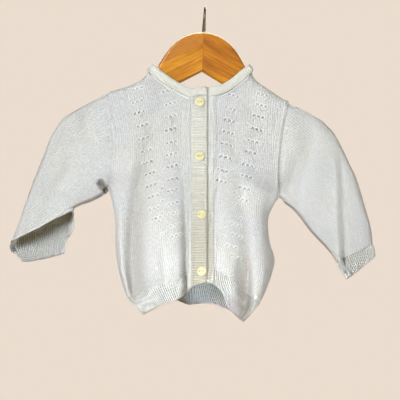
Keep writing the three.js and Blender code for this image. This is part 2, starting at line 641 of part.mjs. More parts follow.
function addSleeve(side, rows, cuffRows) {
  const us = spacing(20);
  const sleeveGap = 0.004;
  addPiece(`sleeve_${side}`, wall({
    surface: sleeveSurface(rows), us, vs: spacing(16, sleeveGap, 1), thickness: knitThickness,
    outward: side === 'right' ? 1 : -1, ring: true,
  }), knitMaterial);
  addPiece(`cuff_${side}`, wall({
    surface: sleeveSurface(cuffRows), us, vs: spacing(3, 0.02, 1), thickness: ribThickness,
    outward: side === 'right' ? 1 : -1, ring: true,
  }), ribMaterial);
}

// ---------------------------------------------------------------- neckband

function addNeckband() {
  const rows = neckband.map((row, at) => ({ at, ...row }));
  const stations = spacing(3 * (rows.length - 1) / 2, 0, rows.length - 1);
  const point = (at, part) => new THREE.Vector3(
    read(rows, 'at', `${part}X`, at), -read(rows, 'at', `${part}Depth`, at),
    read(rows, 'at', `${part}Z`, at));
  const corners = 10;
  const sections = stations.map((at) => {
    const seam = point(at, 'seam');
    const edge = point(at, 'edge');
    const step = 0.01;
    const tangent = point(at + step, 'seam').sub(point(at - step, 'seam')).normalize();
    const halfHeight = edge.clone().sub(seam).multiplyScalar(0.5);
    const outwards = halfHeight.clone().normalize().cross(tangent).normalize();
    const centre = seam.clone().add(halfHeight);
    return Array.from({ length: corners }, (_, i) => {
      const angle = 2 * Math.PI * i / corners;
      const up = Math.sign(Math.cos(angle)) * Math.abs(Math.cos(angle)) ** 0.7;
      const out = Math.sign(Math.sin(angle)) * Math.abs(Math.sin(angle)) ** 0.7;
      return centre.clone().addScaledVector(halfHeight, up)
        .addScaledVector(outwards, out * neckbandThickness / 2);
    });
  });
  addPiece('neckband', sectionSolid(sections), ribMaterial);
}

// ---------------------------------------------------------------- buttons

function asManifold(geometry) {
  const plain = geometry.clone();
  plain.deleteAttribute('normal');
  plain.deleteAttribute('uv');
  const merged = BufferGeometryUtils.mergeVertices(plain, 1e-4);
  return new wasm.Manifold(new wasm.Mesh({
    numProp: 3,
    vertProperties: new Float32Array(merged.attributes.position.array),
    triVerts: new Uint32Array(merged.index.array),
  }));
}

function asGeometry(solid) {
  const mesh = solid.getMesh();
  const geometry = new THREE.BufferGeometry();
  geometry.setAttribute('position', new THREE.Float32BufferAttribute(mesh.vertProperties, 3));
  geometry.setIndex(new THREE.Uint32BufferAttribute(mesh.triVerts, 1));
  geometry.computeVertexNormals();
  return geometry;
}

function buttonGeometry() {
  const radius = buttonDiameter / 2;
  const face = buttonThickness - buttonDishDepth;
  const edge = 0.8;
  const profile = [
    [0, 0], [radius - edge, 0], [radius, edge], [radius, buttonThickness - edge],
    [radius - edge, buttonThickness], [radius - buttonRimWidth - 0.4, face], [0, face],
  ].map(([x, y]) => new THREE.Vector2(x, y));
  let solid = asManifold(new THREE.LatheGeometry(profile, 32));
  for (const sideways of [-1, 1]) {
    const hole = new THREE.CylinderGeometry(buttonHoleDiameter / 2, buttonHoleDiameter / 2, 8, 12);
    hole.translate(sideways * buttonHoleSpacing / 2, buttonThickness / 2, 0);
    solid = solid.subtract(asManifold(hole));
  }
  return asGeometry(solid);
}

// Each button lies on the upper band, tilted with it. The lathe's axis turns from +Y to -Y
// as the face looks forward.
function addButtons() {
  const geometry = buttonGeometry();
  buttonPlaces.forEach(({ x, z }, index) => {
    const step = 4;
    const depth = read(bodyDepth, 'z', 'front', z);
    const slope = (read(bodyDepth, 'z', 'front', z + step)
      - read(bodyDepth, 'z', 'front', z - step)) / (2 * step);
    const mesh = new THREE.Mesh(geometry, buttonMaterial);
    mesh.name = `button_${index + 1}`;
    mesh.rotation.x = Math.PI + Math.atan(slope);
    mesh.position.set(x, -(depth + seamGap + Math.abs(slope)), z);
    cardigan.add(mesh);
  });
}

// ---------------------------------------------------------------- hanger

function hangerOutline() {
  const half = [];
  const headLine = edgeLine(hangerHead);
  const headSteps = 13;
  for (let i = 0; i <= headSteps; i += 1) {
    const point = headLine(i / headSteps);
    half.push([point.x, point.z]);
  }
  const armLine = edgeLine([hangerHead.at(-1), ...hangerArm, ...hangerTip,
    ...hangerLowerEdge, [hangerNotch.x, hangerNotch.z]]);
  const armSteps = 40;
  for (let i = 1; i < armSteps; i += 1) {
    const point = armLine(i / armSteps);
    half.push([point.x, point.z]);
  }
  const mirrored = half.slice(1).reverse().map(([x, z]) => [-x, z]);
  return [...half, [hangerNotch.x, hangerNotch.z], ...mirrored]
    .map(([x, z]) => new THREE.Vector2(x, z));
}

function addHanger() {
  const bevel = hangerEdgeRadius;
  const board = new THREE.ExtrudeGeometry(new THREE.Shape(hangerOutline()), {
    depth: hangerThickness - 2 * bevel, bevelEnabled: true, bevelThickness: bevel,
    bevelSize: bevel, bevelOffset: -bevel, bevelSegments: 3, curveSegments: 1,
  });
  board.translate(0, 0, -(hangerThickness - 2 * bevel) / 2);
  board.rotateX(Math.PI / 2);
  const bore = new THREE.CylinderGeometry(hangerHookBore / 2, hangerHookBore / 2, 30, 12);
  bore.rotateX(Math.PI / 2);
  const tilt = hangerTiltDegrees * Math.PI / 180;
  const whole = asManifold(board);
  for (const [side, sideways] of [['right', -1], ['left', 1]]) {
    const length = 200;
    const half = new THREE.BoxGeometry(length, 40, 300);
    half.translate(sideways * (length + seamGap) / 2, 0, -60);
    const arm = asGeometry(whole.intersect(asManifold(half)));
    arm.rotateY(tilt);
    arm.translate(hangerApex.x, 0, hangerApex.z);
    const drilled = asManifold(arm).subtract(asManifold(bore.clone().translate(
      hookWire[0][0], 0, hookWire[0][2] + 12)));
    addPiece(`hanger_arm_${side}`, asGeometry(drilled), woodMaterial);
  }
}

function addHook() {
  const path = new THREE.CatmullRomCurve3(hookWire.map(([x, y, z]) => new THREE.Vector3(x, y, z)));
  const sides = 8;
  const section = new THREE.Shape(Array.from({ length: sides }, (_, i) => new THREE.Vector2(
    wireDiameter / 2 * Math.cos(2 * Math.PI * i / sides),
    wireDiameter / 2 * Math.sin(2 * Math.PI * i / sides))));
  const hook = new THREE.ExtrudeGeometry(section, {
    steps: 36, extrudePath: path, bevelEnabled: false });
  addPiece('hook', hook, wireMaterial);
}

// ---------------------------------------------------------------- assembly

addFronts();
addBack();
addFrontBands();
addSleeve('right', rightSleeve, rightCuff);
addSleeve('left', leftSleeve, leftCuff);
addNeckband();
addButtons();
addHanger();
addHook();

export default cardigan;
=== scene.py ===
# Looks of a baby's fine-knit cardigan on a varnished wooden child's hanger.
# Tables and sizes are millimetres in the part's own frame, and MM turns them into Blender's
# metres. +Z is up, -Y is the front, +X is the wearer's left, the origin is inside the hook.
# Right and left are the wearer's. Flat sizes of sheets, the camera and the lights are in metres.

import json
import math

import bmesh
import bpy
import numpy as np
from mathutils import Matrix, Vector

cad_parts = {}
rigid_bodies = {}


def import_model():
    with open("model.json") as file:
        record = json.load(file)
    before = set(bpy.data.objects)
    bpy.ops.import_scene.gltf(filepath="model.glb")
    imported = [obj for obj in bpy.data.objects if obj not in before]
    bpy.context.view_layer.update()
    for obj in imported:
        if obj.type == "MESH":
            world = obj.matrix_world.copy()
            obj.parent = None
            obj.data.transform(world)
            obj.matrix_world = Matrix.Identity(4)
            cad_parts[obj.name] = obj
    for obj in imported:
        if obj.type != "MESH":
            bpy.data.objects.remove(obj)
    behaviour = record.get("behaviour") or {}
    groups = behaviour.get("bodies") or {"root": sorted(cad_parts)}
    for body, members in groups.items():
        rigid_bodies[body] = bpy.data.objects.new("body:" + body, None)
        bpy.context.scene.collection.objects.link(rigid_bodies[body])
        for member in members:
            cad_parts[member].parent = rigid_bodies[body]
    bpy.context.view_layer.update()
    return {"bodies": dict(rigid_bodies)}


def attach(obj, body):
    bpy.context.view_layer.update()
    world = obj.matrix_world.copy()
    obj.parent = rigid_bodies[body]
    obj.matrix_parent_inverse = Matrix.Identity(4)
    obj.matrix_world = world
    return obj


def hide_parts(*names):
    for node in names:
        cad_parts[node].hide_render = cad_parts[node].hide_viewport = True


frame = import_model()

MM = 0.001
(BODY,) = frame["bodies"]

# ------------------------------------------------------------------ driving sizes

KNIT_THICKNESS = 1.6
RIB_THICKNESS = 2.0
BAND_THICKNESS = 2.2
NECKBAND_THICKNESS = 4.4
NECKBAND_TUCK = (1.3, 0.4, 1.3)
SEAM_GAP = 0.3

# A level runs from 0 at a panel's hem to 1 at its shoulders.
WELT_LEVEL = 0.08
CHEST_LEVEL = 0.56
NECK_SEAM_LEVEL = 1 - 0.0092

# The armhole's height, the part of it over which a panel takes up the sleeve's depth, and the
# height at its top over which the panel turns over the shoulder.
ARMHOLE_HEIGHT = 105.0
ARMHOLE_BLEND = 25.0
SHOULDER_ROLL = 14.0

# The share of a panel's width at which its shoulder ends and its neck begins.
NECK_START = 0.48
BACK_NECK_START = 0.26

# Superellipse exponents: how square the body, a sleeve and the neck are across.
BODY_EXPONENT = 2.8
SLEEVE_EXPONENT = 3.0
FRONT_NECK_EXPONENT = 2.6
BACK_NECK_EXPONENT = 3.2

# Ribs, and how far a ribbed wall's upper edge slips under the cloth above it. A wale is the
# width and height of one stitch.
WELT_RIB_PITCH = 2.4
CUFF_RIB_PITCH = 2.2
NECK_RIB_PITCH = 1.7
BAND_RIB_PITCH = 1.8
WELT_RIB_HEIGHT = 0.42
CUFF_RIB_HEIGHT = 0.3
NECK_RIB_HEIGHT = 0.09
RIB_SLIP = 1.1
BODY_WALE = np.array((2.4, 1.8))
SLEEVE_WALE = np.array((2.6, 1.9))

# How many steps a mesh takes across and up a panel, and for each rib.
FRONT_STEPS = (104, 226)
BACK_STEPS = (120, 130)
SLEEVE_STEPS = (136, 150)
RIB_STEPS = 8

# The fronts' edges at the centre, the bands along them, and how far the lower one lies back.
RIGHT_FRONT_EDGE = -15.0
LEFT_FRONT_EDGE = 9.0
BAND_WIDTH = 17.0
BAND_OVERLAP = 0.8
BAND_TOP = -96.8
LAP_DEPTH = 2.6

BUTTON_PLACES = ((-6, -104), (-6, -164), (-4, -228), (-4, -290))
BUTTON_DIAMETER = 11.4
BUTTON_HEIGHT = 2.6
BUTTON_HOLE_OFFSET = 1.9
BUTTON_GAP = 0.3

# A button's outline from the middle of its back to the middle of its face, as radius and
# height, and how wide it is in X as a share of its height in Z.
BUTTON_PROFILE = ((0, 0), (4.6, 0), (5.45, 0.45), (5.7, 1.15), (5.5, 1.8), (4.9, 2.3),
                  (4.0, 2.52), (2.9, 2.45), (1.6, 2.3), (0, 2.25))
BUTTON_NARROWING = 0.93

# Eyelets: their pitch in a row, how much wider than high they are, their radius at the bottom
# and the top of a front, and how a row climbs towards the centre. Above OPEN_LACE_TOP they
# have painted shade and their yarn, but are not cut.
EYELET_PITCH = 4.6
EYELET_STRETCH = 1.15
EYELET_RADIUS = (0.9, 1.3)
LACE_RISE = 0.3
OPEN_LACE_TOP = -112.0

# The yarn of an eyelet: an arch over the hole, and a loop in its middle.
ARCH_HALF_WIDTH = 1.95
ARCH_HEIGHT = 2.3
ARCH_YARN_RADIUS = 0.42
LOOP_YARN_RADIUS = 0.4

# How grey the cloth is painted, from 0 to 1, where little light reaches it, and what a full
# shade of 1 leaves of its colour.
SHADE_COLOUR = (0.40, 0.35, 0.25, 1.0)
SHADE = {"fold": 0.44, "sleeve fold": 0.16, "armpit": 0.45, "sleeve edge": 0.55,
         "inside back welt": 0.8, "low band": 0.5, "low eyelet": 0.22, "high eyelet": 0.5}


def table(columns, *rows):
    """Named columns of numbers from rows."""
    return dict(zip(columns.split(), np.array(rows, float).T))


# ------------------------------------------------------------------ tables of the garment

# How far the body's front and back lie from the middle plane, by height.
BODY_DEPTH = table(
    "z front back",
    (-345, 40, 29), (-325, 42, 31), (-300, 42, 31), (-250, 37, 27), (-200, 29, 22),
    (-164, 23, 18), (-130, 18, 15), (-98, 13, 12), (-60, 11, 10))

# The side and centre lines of each front, by level.
LEVELS = "level sideX sideZ centreX centreZ"
RIGHT_LEVELS = table(
    LEVELS,
    (0.00, -68, -337, -16, -307), (0.08, -85, -319, -16, -290), (0.20, -94, -292, -16, -271),
    (0.33, -99, -262, -16, -248), (0.45, -99, -231, -16, -225),
    (0.56, -105.5, -200.5, -15, -203))
LEFT_LEVELS = table(
    LEVELS,
    (0.00, 42, -345, 9, -305), (0.08, 60, -324, 9, -288), (0.16, 70, -301, 9, -274),
    (0.25, 76, -278, 9, -258), (0.34, 71, -257, 9, -243), (0.45, 69, -231, 9, -224),
    (0.56, 78.5, -210.5, 9, -203))

# The other edges of the panels, as X and Z.
RIGHT_SHOULDER = ((-108, -93), (-93, -88), (-81, -84), (-70, -78), (-62, -70))
LEFT_SHOULDER = ((92, -103), (75, -93), (63, -84), (55, -78), (51, -70))
RIGHT_NECK = ((-62, -70), (-49, -80), (-36, -88), (-24, -95), (-15, -98))
LEFT_NECK = ((51, -70), (44, -77), (30, -88), (19, -94), (9, -97))
RIGHT_HEM = ((-68, -337), (-57, -331), (-44, -325), (-31, -321), (-22, -315), (-16, -307))
LEFT_HEM = ((42, -345), (33, -337), (25, -328), (20, -316), (15, -309), (9, -305))
BACK_HEM = ((-68, -335), (-54, -327.5), (-42, -321.5), (-33, -319.5), (-26, -322), (-17, -325),
            (-6, -324), (5, -324), (14, -326.5), (30, -334), (42, -345))
BACK_NECK = ((-62, -70), (-50, -81), (-36, -91), (-20, -98), (-6, -100), (9, -98),
             (25, -91), (39, -81), (51, -70))

# The neckband's seam and free edge, from its upper end at the centre front round by the
# wearer's right, the back and the left to its under end.
NECKBAND = table(
    "seamX seamZ seamDepth edgeX edgeZ edgeDepth",
    (1.5, -95.5, 13, 1.5, -86, 12), (-6, -95, 13.2, -6, -87, 12),
    (-15, -97.4, 13, -14, -88.5, 12), (-24, -94.4, 12.8, -22, -86.5, 12),
    (-36, -87.4, 12.4, -33, -80, 11.5), (-49, -79.4, 11.5, -45, -71.5, 10.5),
    (-59.5, -71.2, 8.2, -55, -63.5, 6.5), (-62.5, -68.5, 0, -57, -61.5, 0),
    (-60, -70.5, -7, -55.5, -64.5, -6.5), (-49, -80, -10.5, -46, -73, -10),
    (-36, -89, -11.5, -33.5, -82, -11), (-20, -96.5, -12, -19, -88.5, -11.5),
    (-6, -98.5, -12, -6, -90.5, -11.5), (9, -96.5, -12, 8, -88.5, -11.5),
    (25, -89.5, -11.5, 22.5, -82, -11), (38, -80, -10.5, 35, -73, -10),
    (49, -70.5, -8.6, 45, -65, -8.4), (51.5, -68.5, 0, 47.5, -61.5, 0),
    (50, -70, 8.6, 46, -63.5, 8.4), (43, -77.2, 11, 39, -69, 10),
    (30, -87.4, 12, 27, -79, 11), (18, -93.8, 11.8, 16, -85, 10.8), (9, -95.5, 10, 8, -86.5, 9),
    (1, -95.5, 8.4, 0, -87, 7.4), (-7, -95.5, 8, -7, -87.5, 7))

# Sections of the sleeves and cuffs from start to end: the top and low points, the depths in
# front and behind, and how far the middle bows towards higher X and lifts the front.
SECTION = "at topX topZ lowX lowZ front back bow lift"
RIGHT_SLEEVE = table(
    SECTION,
    (0.00, -108, -93, -107, -199, 14, 13, 5.5, 0), (0.08, -122, -101, -113, -206, 15, 14, 4, 0),
    (0.17, -138, -109, -121, -211, 16, 15, 2, 0), (0.25, -150, -116.5, -128, -214, 17, 15, 0, 0),
    (0.32, -160, -125.5, -134, -216, 17, 15, 0, 0), (0.40, -170, -141, -139, -218, 17, 15, 0, 0),
    (0.50, -179, -164, -143, -220, 17, 15, 0, 0), (0.60, -189, -190, -145, -222, 17, 15, 0, 0),
    (0.70, -200, -220, -146, -222, 17, 15, 0, 0), (0.80, -209, -247, -146, -222, 18, 14, 0, 0),
    (0.86, -213, -256.5, -146, -220.5, 20, 14, 0, -1),
    (0.88, -213, -257, -146, -220.5, 18.5, 14, 0, -2),
    (0.89, -213, -257.3, -146, -221, 16, 14, 0, 0),
    (0.91, -213, -258, -146, -222, 11, 14, 0, 9), (0.93, -213, -258.5, -146, -224, 1, 14, 0, 14),
    (0.96, -213, -259, -146, -226, -9.5, 13, 0, 11),
    (1.00, -213, -259, -146.5, -230, -9.5, 13, 0, 3))
LEFT_SLEEVE = table(
    SECTION,
    (0.00, 92, -103, 80, -209, 14, 13, -4, 0), (0.08, 106, -111, 87, -215, 15, 14, -3, 0),
    (0.16, 119, -118, 95, -221, 16, 15, -1, 0), (0.24, 131, -126, 102, -228, 17, 15, 0, 0),
    (0.33, 142, -138, 109, -237, 18, 16, 0, 0), (0.44, 152, -156, 117, -247, 18, 16, 0, 0),
    (0.56, 162, -177, 125, -256, 18, 16, 0, 0), (0.68, 171, -201, 132, -263, 17, 15, 0, 0),
    (0.80, 178, -225, 137, -269, 16, 14, 0, 0), (0.91, 183, -246, 141, -275, 15, 13, 0, 0),
    (1.00, 184, -259, 144, -280, 14, 12, 0, 0))
RIGHT_CUFF = table(
    SECTION,
    (0.00, -213, -259.5, -146.5, -230.5, -9.8, 12.7, 0, 3),
    (0.30, -212, -265, -146.5, -241, -7, 12, 0, 1),
    (0.60, -208.5, -270.5, -152, -254, 1, 11, 0, 0),
    (1.00, -201, -279, -155, -269.5, 8, 10, -1, 0))
LEFT_CUFF = table(
    SECTION,
    (0.00, 184, -259.5, 144, -280.5, 13.7, 11.7, 0, 0),
    (0.50, 186, -266, 148, -288, 13, 12, 0, 0), (1.00, 187, -273, 156, -298, 12, 12, -1, -2))

# The lower edge of the right sleeve's front, where it hangs over the cuff.
OVERHANG_X = (-211, -199, -174.5, -147)
OVERHANG_Z = (-256.6, -249, -238, -222.5)

# The hollow at the right armpit: the line along its bottom, its width and its depth.
ARMPIT = ((-115, -193), (-109.5, -200.5), 5.2, 12)

# Folds, each along a curve from top to low through mid. A ridge has a positive height, a
# trough a negative one. near is its width on the side of lower X, far on the side of higher X.
FOLD = "topX topZ midX midZ lowX lowZ topHeight lowHeight near far"
FOLDS = {
    "right": table(
        FOLD,
        (-49, -112, -76, -210, -79, -305, -4, -19, 8, 18),
        (-38, -120, -50, -205, -52, -315, 1, 3, 12, 12),
        (-26, -120, -25, -200, -24, -250, -3, -5, 9, 6),
        (-20.5, -195, -20.5, -265, -20, -318, -3, -18, 5.5, 3.5),
        (-46, -270, -45, -292, -44, -320, -2, -3, 4, 4)),
    "left": table(
        FOLD,
        (30, -130, 40, -205, 45, -305, -3, -8, 10, 9),
        (56, -165, 61, -245, 66, -320, 0.3, 5, 10, 7),
        (78, -205, 76, -240, 82, -290, -5, -5, 7, 9),
        (48, -265, 48, -305, 47, -340, -3, -17, 15, 4)),
    "back": table(
        FOLD,
        (-58, -120, -64, -200, -66, -300, -2, -7, 10, 10),
        (-14, -130, -10, -220, -16, -318, 0, -6, 9, 9),
        (34, -120, 36, -200, 30, -315, -1, -7, 10, 10),
        (-2, -262, -2, -290, -2, -330, 0, -12, 34, 30)),
    "sleeve_right_front": table(
        FOLD,
        (-137, -124, -132, -142, -128, -164, -3, -1, 8, 8),
        (-155, -176, -168, -200, -181, -224, -3, -2.5, 9, 9)),
    "sleeve_right_back": table(
        FOLD,
        (-150, -130, -152, -170, -160, -215, -2, -4, 9, 9),
        (-125, -150, -128, -180, -134, -208, -2, -3, 7, 7)),
    "sleeve_left_front": table(
        FOLD,
        (149, -160, 152.5, -228, 153.5, -296, -3, -8, 5.5, 2),
        (143, -175, 145, -228, 147, -275, 1, 2.5, 4, 4),
        (114, -150, 101, -175, 91, -205, -4.5, -8, 13, 12),
        (128, -135, 118, -185, 110, -225, 3, 2, 12, 12)),
    "cuff_right_front": table(
        FOLD,
        (-160, -220, -161, -250, -162, -290, -3, -1, 6, 6),
        (-183, -230, -182, -255, -180, -290, -3, -2, 7, 7)),
    "cuff_left_front": table(
        FOLD,
        (149, -160, 152.5, -228, 153.5, -296, -3, -8, 5.5, 2)),
    "sleeve_left_back": table(
        FOLD,
        (140, -150, 148, -200, 158, -255, -2, -4, 9, 9),
        (110, -130, 112, -175, 118, -220, -2, -3, 8, 8)),
}

# The hanger. Its outline is X and Z from HANGER_APEX, before the tilt, on the wearer's left;
# the right half mirrors it.
HANGER_THICKNESS = 12.0
HANGER_EDGE_RADIUS = 3.0
HANGER_TILT = math.radians(2.2)
HANGER_HALF_GAP = 0.01
HANGER_APEX = (-2.0, -26.7)
HANGER_HEAD = ((0, 0.5), (9.3, -0.5), (17.5, -3.2), (24.4, -7.2), (30.2, -11.7),
               (34.9, -16.6), (38.6, -21.6), (41.9, -26.6), (44.9, -31.8), (47.6, -36.5),
               (49, -42))
HANGER_ARM = ((49, -48), (54, -58), (66, -63), (79, -69.5), (94, -78.5), (108, -86),
              (122, -94.5), (134, -103))
HANGER_TIP = ((140, -110), (138, -117))
HANGER_LOWER_EDGE = ((132, -118), (115, -108), (90, -95), (60, -78), (30, -60))
HANGER_NOTCH = (0, -43)
HANGER_JOINT = Vector((HANGER_APEX[0] * MM, 0, HANGER_APEX[1] * MM))

# Each arm is two boards: the slope of the line between them and its height at the joint, by
# the sign of the arm's X. The left arm has knots, given as X, Z and size.
BOARD_SLOPE = {-1: math.radians(26), 1: math.radians(29)}
BOARD_LINE_Z = {-1: -39.2, 1: -32.0}
KNOTS = ((39, -67.4, 1.6), (31, -69.6, 1.2))

# The line of the hook's wire, from inside the wood to its free end.
WIRE_DIAMETER = 2.4
HOOK_WIRE = (
    (-2.5, 0, -38), (-2.5, 0, -32), (-2.5, 0.3, -26), (-2.1, 4, -20.5), (-1.6, 9, -14.5),
    (-1.0, 10.7, -9), (-0.5, 8, -2.2), (-0.2, 0, 1.2), (-0.4, -8, -2.2), (-0.6, -10.7, -9),
    (-0.7, -10.3, -15), (-0.7, -9.2, -20.5), (-0.8, -8.6, -26))

# Lace: rows of small arches in the fronts, by the place of each row's middle.
LACE_RIGHT = (
    (-74.6, -89.4), (-74.6, -103.7), (-72.4, -115.8), (-69.1, -130.1), (-68, -144.4),
    (-64.7, -157.6), (-63.6, -170.8), (-60.3, -182.9), (-59.2, -196.1), (-57, -208.2),
    (-55.9, -221.4), (-53.7, -232.4),
    (-41.6, -91.6), (-38.3, -105.9), (-38.3, -120.2), (-38.3, -134.5), (-37.2, -148.8),
    (-37.2, -162), (-36.6, -175.2), (-36.1, -189.5), (-36.1, -201.6), (-35.5, -215.9),
    (-35, -226.9), (-32.8, -240.1), (-31.7, -251.1))
LACE_LEFT = (
    (31, -97.1), (27.7, -111.4), (26.6, -124.6), (25.5, -137.8), (23.3, -151), (22.2, -165.3),
    (18.9, -179.6), (17.8, -191.7),
    (62.9, -96), (61.8, -108.1), (58.5, -120.2), (56.3, -134.5), (51.9, -147.7),
    (49.7, -159.8), (46.4, -174.1), (45.3, -186.2), (43.1, -199.4), (40.9, -211.5),
    (33.2, -239), (34.3, -251.1), (28.8, -263.2), (33.2, -274.2))
SINGLE_EYELETS_RIGHT = ((-47.1, -199.4), (-47.1, -213.7), (-47.1, -226.9), (-50.4, -235.7),
                        (-47.1, -250))
SINGLE_EYELETS_LEFT = ((32.1, -203.8), (32.1, -215.9), (38.7, -232.4), (23.3, -243.4),
                       (20, -252.2))


# ------------------------------------------------------------------ reading the tables

def read(rows, key, column, at):
    """A smooth reading of one column of a table, where key names the column of positions."""
    x, y = rows[key], rows[column]
    last = len(x) - 1
    t = np.clip(at, x[0], x[-1])
    i = np.clip(np.searchsorted(x, t, side="left") - 1, 0, last - 1)
    before = np.maximum(np.arange(last + 1) - 1, 0)
    after = np.minimum(np.arange(last + 1) + 1, last)
    slopes = (y[after] - y[before]) / (x[after] - x[before])
    width = x[i + 1] - x[i]
    s = (t - x[i]) / width
    return ((1 + 2 * s) * (1 - s) ** 2 * y[i] + s * s * (3 - 2 * s) * y[i + 1]
            + width * (s * (1 - s) ** 2 * slopes[i] - s * s * (1 - s) * slopes[i + 1]))


def body_depth(face, z):
    """How far the front or the back of the body lies from the middle plane, by height."""
    return read(BODY_DEPTH, "z", face, np.asarray(z, float))


def edge_line(points):
    """A smooth line through points: a function of the share of its length."""
    p = np.array(points, float)
    ends = np.vstack([2 * p[0] - p[1], p, 2 * p[-1] - p[-2]])
    t = np.linspace(0, len(p) - 1, 60 * len(p))
    i = np.minimum(t.astype(int), len(p) - 2)
    s = (t - i)[:, None]
    a, b, c, d = (ends[i + k] for k in range(4))
    line = 0.5 * (2 * b + (c - a) * s + (2 * a - 5 * b + 4 * c - d) * s ** 2
                  + (3 * b - a - 3 * c + d) * s ** 3)
    length = run_along(line, 0)

    def at(share):
        place = np.clip(share, 0, 1) * length[-1]
        return np.stack([np.interp(place, length, line[:, k]) for k in range(p.shape[1])], -1)

    at.length = length[-1]
    return at


def run_along(points, axis):
    """The length walked along an axis of a grid of points, from its start."""
    steps = np.linalg.norm(np.diff(points, axis=axis), axis=-1)
    start = np.zeros_like(np.take(steps, [0], axis))
    return np.cumsum(np.concatenate([start, steps], axis), axis)


def smooth_step(low, high, value):
    s = np.clip((value - low) / (high - low), 0, 1)
    return s * s * (3 - 2 * s)


def mix(a, b, share):
    return a + (b - a) * share


def superellipse(share, exponent):
    return np.maximum(1 - np.abs(share) ** exponent, 0) ** (1 / exponent)


def bump(distance, width):
    return np.exp(-(distance / width) ** 2)


def unit(v):
    return v / np.maximum(np.linalg.norm(v, axis=-1, keepdims=True), 1e-9)


# ------------------------------------------------------------------ forms of the cloth

def section_point(section, along, is_front, step=None):
    """A point of a sleeve section. along runs from -1 at the low point to 1 at the top. step is
    how far above the low point the front starts to stand out."""
    half_x = (section["topX"] - section["lowX"]) / 2
    half_z = (section["topZ"] - section["lowZ"]) / 2
    length = np.hypot(half_x, half_z)
    middle = 1 - along * along
    bend = section["bow"] * middle
    lift = np.where(is_front, section["lift"] * middle, 0)
    depth = superellipse(along, SLEEVE_EXPONENT)
    if step is not None:
        raised = smooth_step(step * 0.75, step * 1.25 + 0.3, (along + 1) * length)
        depth = np.where(is_front, depth * np.where(step > 0, raised, 1), depth)
    return np.stack([
        (section["topX"] + section["lowX"]) / 2 + half_x * along + bend * half_z / length,
        np.where(is_front, -section["front"] * depth, section["back"] * depth),
        (section["topZ"] + section["lowZ"]) / 2 + half_z * along - bend * half_x / length
        + lift], -1)


def sleeve_surface(rows, front_folds=None, back_folds=None, pit=None, tuck=0.0, step=None):
    """The outer face of a sleeve: turn goes once round, from the top over the front. A pit is
    one deep hollow, tuck is how far the sleeve's start is slipped under the armhole, and step
    is the height of the shaded strip along the lower edge."""
    def surface(turn, at):
        angle = 2 * np.pi * turn
        cosine = np.cos(angle)
        along = np.sign(cosine) * np.abs(cosine) ** (2 / SLEEVE_EXPONENT)
        section = {c: read(rows, "at", c, at) for c in SECTION.split()[1:]}
        is_front = np.sin(angle) >= 0
        point = section_point(section, along, is_front, step(at) if step else None)
        middle = smooth_step(0, 0.35, 1 - np.abs(along)) * smooth_step(0, 0.06, at)
        for folds, sign in ((front_folds, -1), (back_folds, 1)):
            if folds is not None:
                height = fold_height(folds, point[..., 0], point[..., 2])
                chosen = is_front if sign < 0 else ~is_front
                point[..., 1] += np.where(chosen, sign * height * middle, 0)
        if pit is not None:
            hollow = pit_height(*pit, point[..., 0], point[..., 2])
            room = (section["front"] + section["back"]) * superellipse(along, SLEEVE_EXPONENT)
            hollow = np.minimum(hollow, np.maximum(room - 5, 0))
            point[..., 1] += np.where(is_front, hollow, 0)
        point[..., 0] -= tuck * (1 - smooth_step(0, 0.012, at))
        return point
    return surface


def strip_height(start, onward, end):
    """The height of the strip that lies back along a sleeve's lower edge, down to its end."""
    def step(at):
        height = mix(start, onward, smooth_step(0.02, 0.2, at))
        return height * (1 - smooth_step(end - 0.06, end, at))
    return step


def fold_height(folds, x, z):
    """How far all the folds of one face stand out at X and Z."""
    height = np.zeros_like(x)
    for i in range(len(folds["topX"])):
        f = {column: folds[column][i] for column in folds}
        s = np.clip((f["topZ"] - z) / (f["topZ"] - f["lowZ"]), 0, 1)
        line = ((1 - s) ** 2 * f["topX"] + s * s * f["lowX"]
                + 2 * s * (1 - s) * (2 * f["midX"] - (f["topX"] + f["lowX"]) / 2))
        width = np.where(x < line, f["near"], f["far"])
        beyond = np.maximum(np.maximum(z - f["topZ"], f["lowZ"] - z), 0)
        fade = bump(beyond, 2 * f["near"])
        height += mix(f["topHeight"], f["lowHeight"], s) * bump(x - line, width) * fade
    return height


def pit_height(start, end, width, depth, x, z):
    """The depth of a short, steep-sided hollow between two places."""
    start, end = np.array(start, float), np.array(end, float)
    span = end - start
    share = np.clip(((x - start[0]) * span[0] + (z - start[1]) * span[1]) / (span @ span), 0, 1)
    away = np.hypot(x - start[0] - share * span[0], z - start[1] - share * span[1])
    reach = width * mix(1.0, 0.6, share)
    return depth * (1 - smooth_step(0.35 * reach, reach, away))


def coons(side, centre, bottom, top, across, level):
    """A point inside four edges, in X and Z."""
    zero, one = np.zeros_like(across), np.ones_like(across)
    corner = [edge(share) for edge in (bottom, top) for share in (zero, one)]
    a, v = across[..., None], level[..., None]
    return (mix(side(level), centre(level), a) + mix(bottom(across), top(across), v)
            - mix(mix(corner[0], corner[1], a), mix(corner[2], corner[3], a), v))


def armhole_side(levels, armhole, is_front):
    """The side edge of a panel from hem to shoulder, as X and Z, and its depth."""
    first = {c: armhole[c][0] for c in armhole}

    def upper(level):
        along = np.clip(-1 + 2 * (level - CHEST_LEVEL) / (1 - CHEST_LEVEL), -1, 1)
        return section_point(first, along, np.full_like(along, is_front, bool))

    def at(level):
        lower = np.stack([read(levels, "level", c, level) for c in ("sideX", "sideZ")], -1)
        return np.where((level > CHEST_LEVEL)[..., None], upper(level)[..., [0, 2]], lower)

    def depth(level):
        return np.where(level > CHEST_LEVEL, upper(level)[..., 1], 0)

    return at, depth


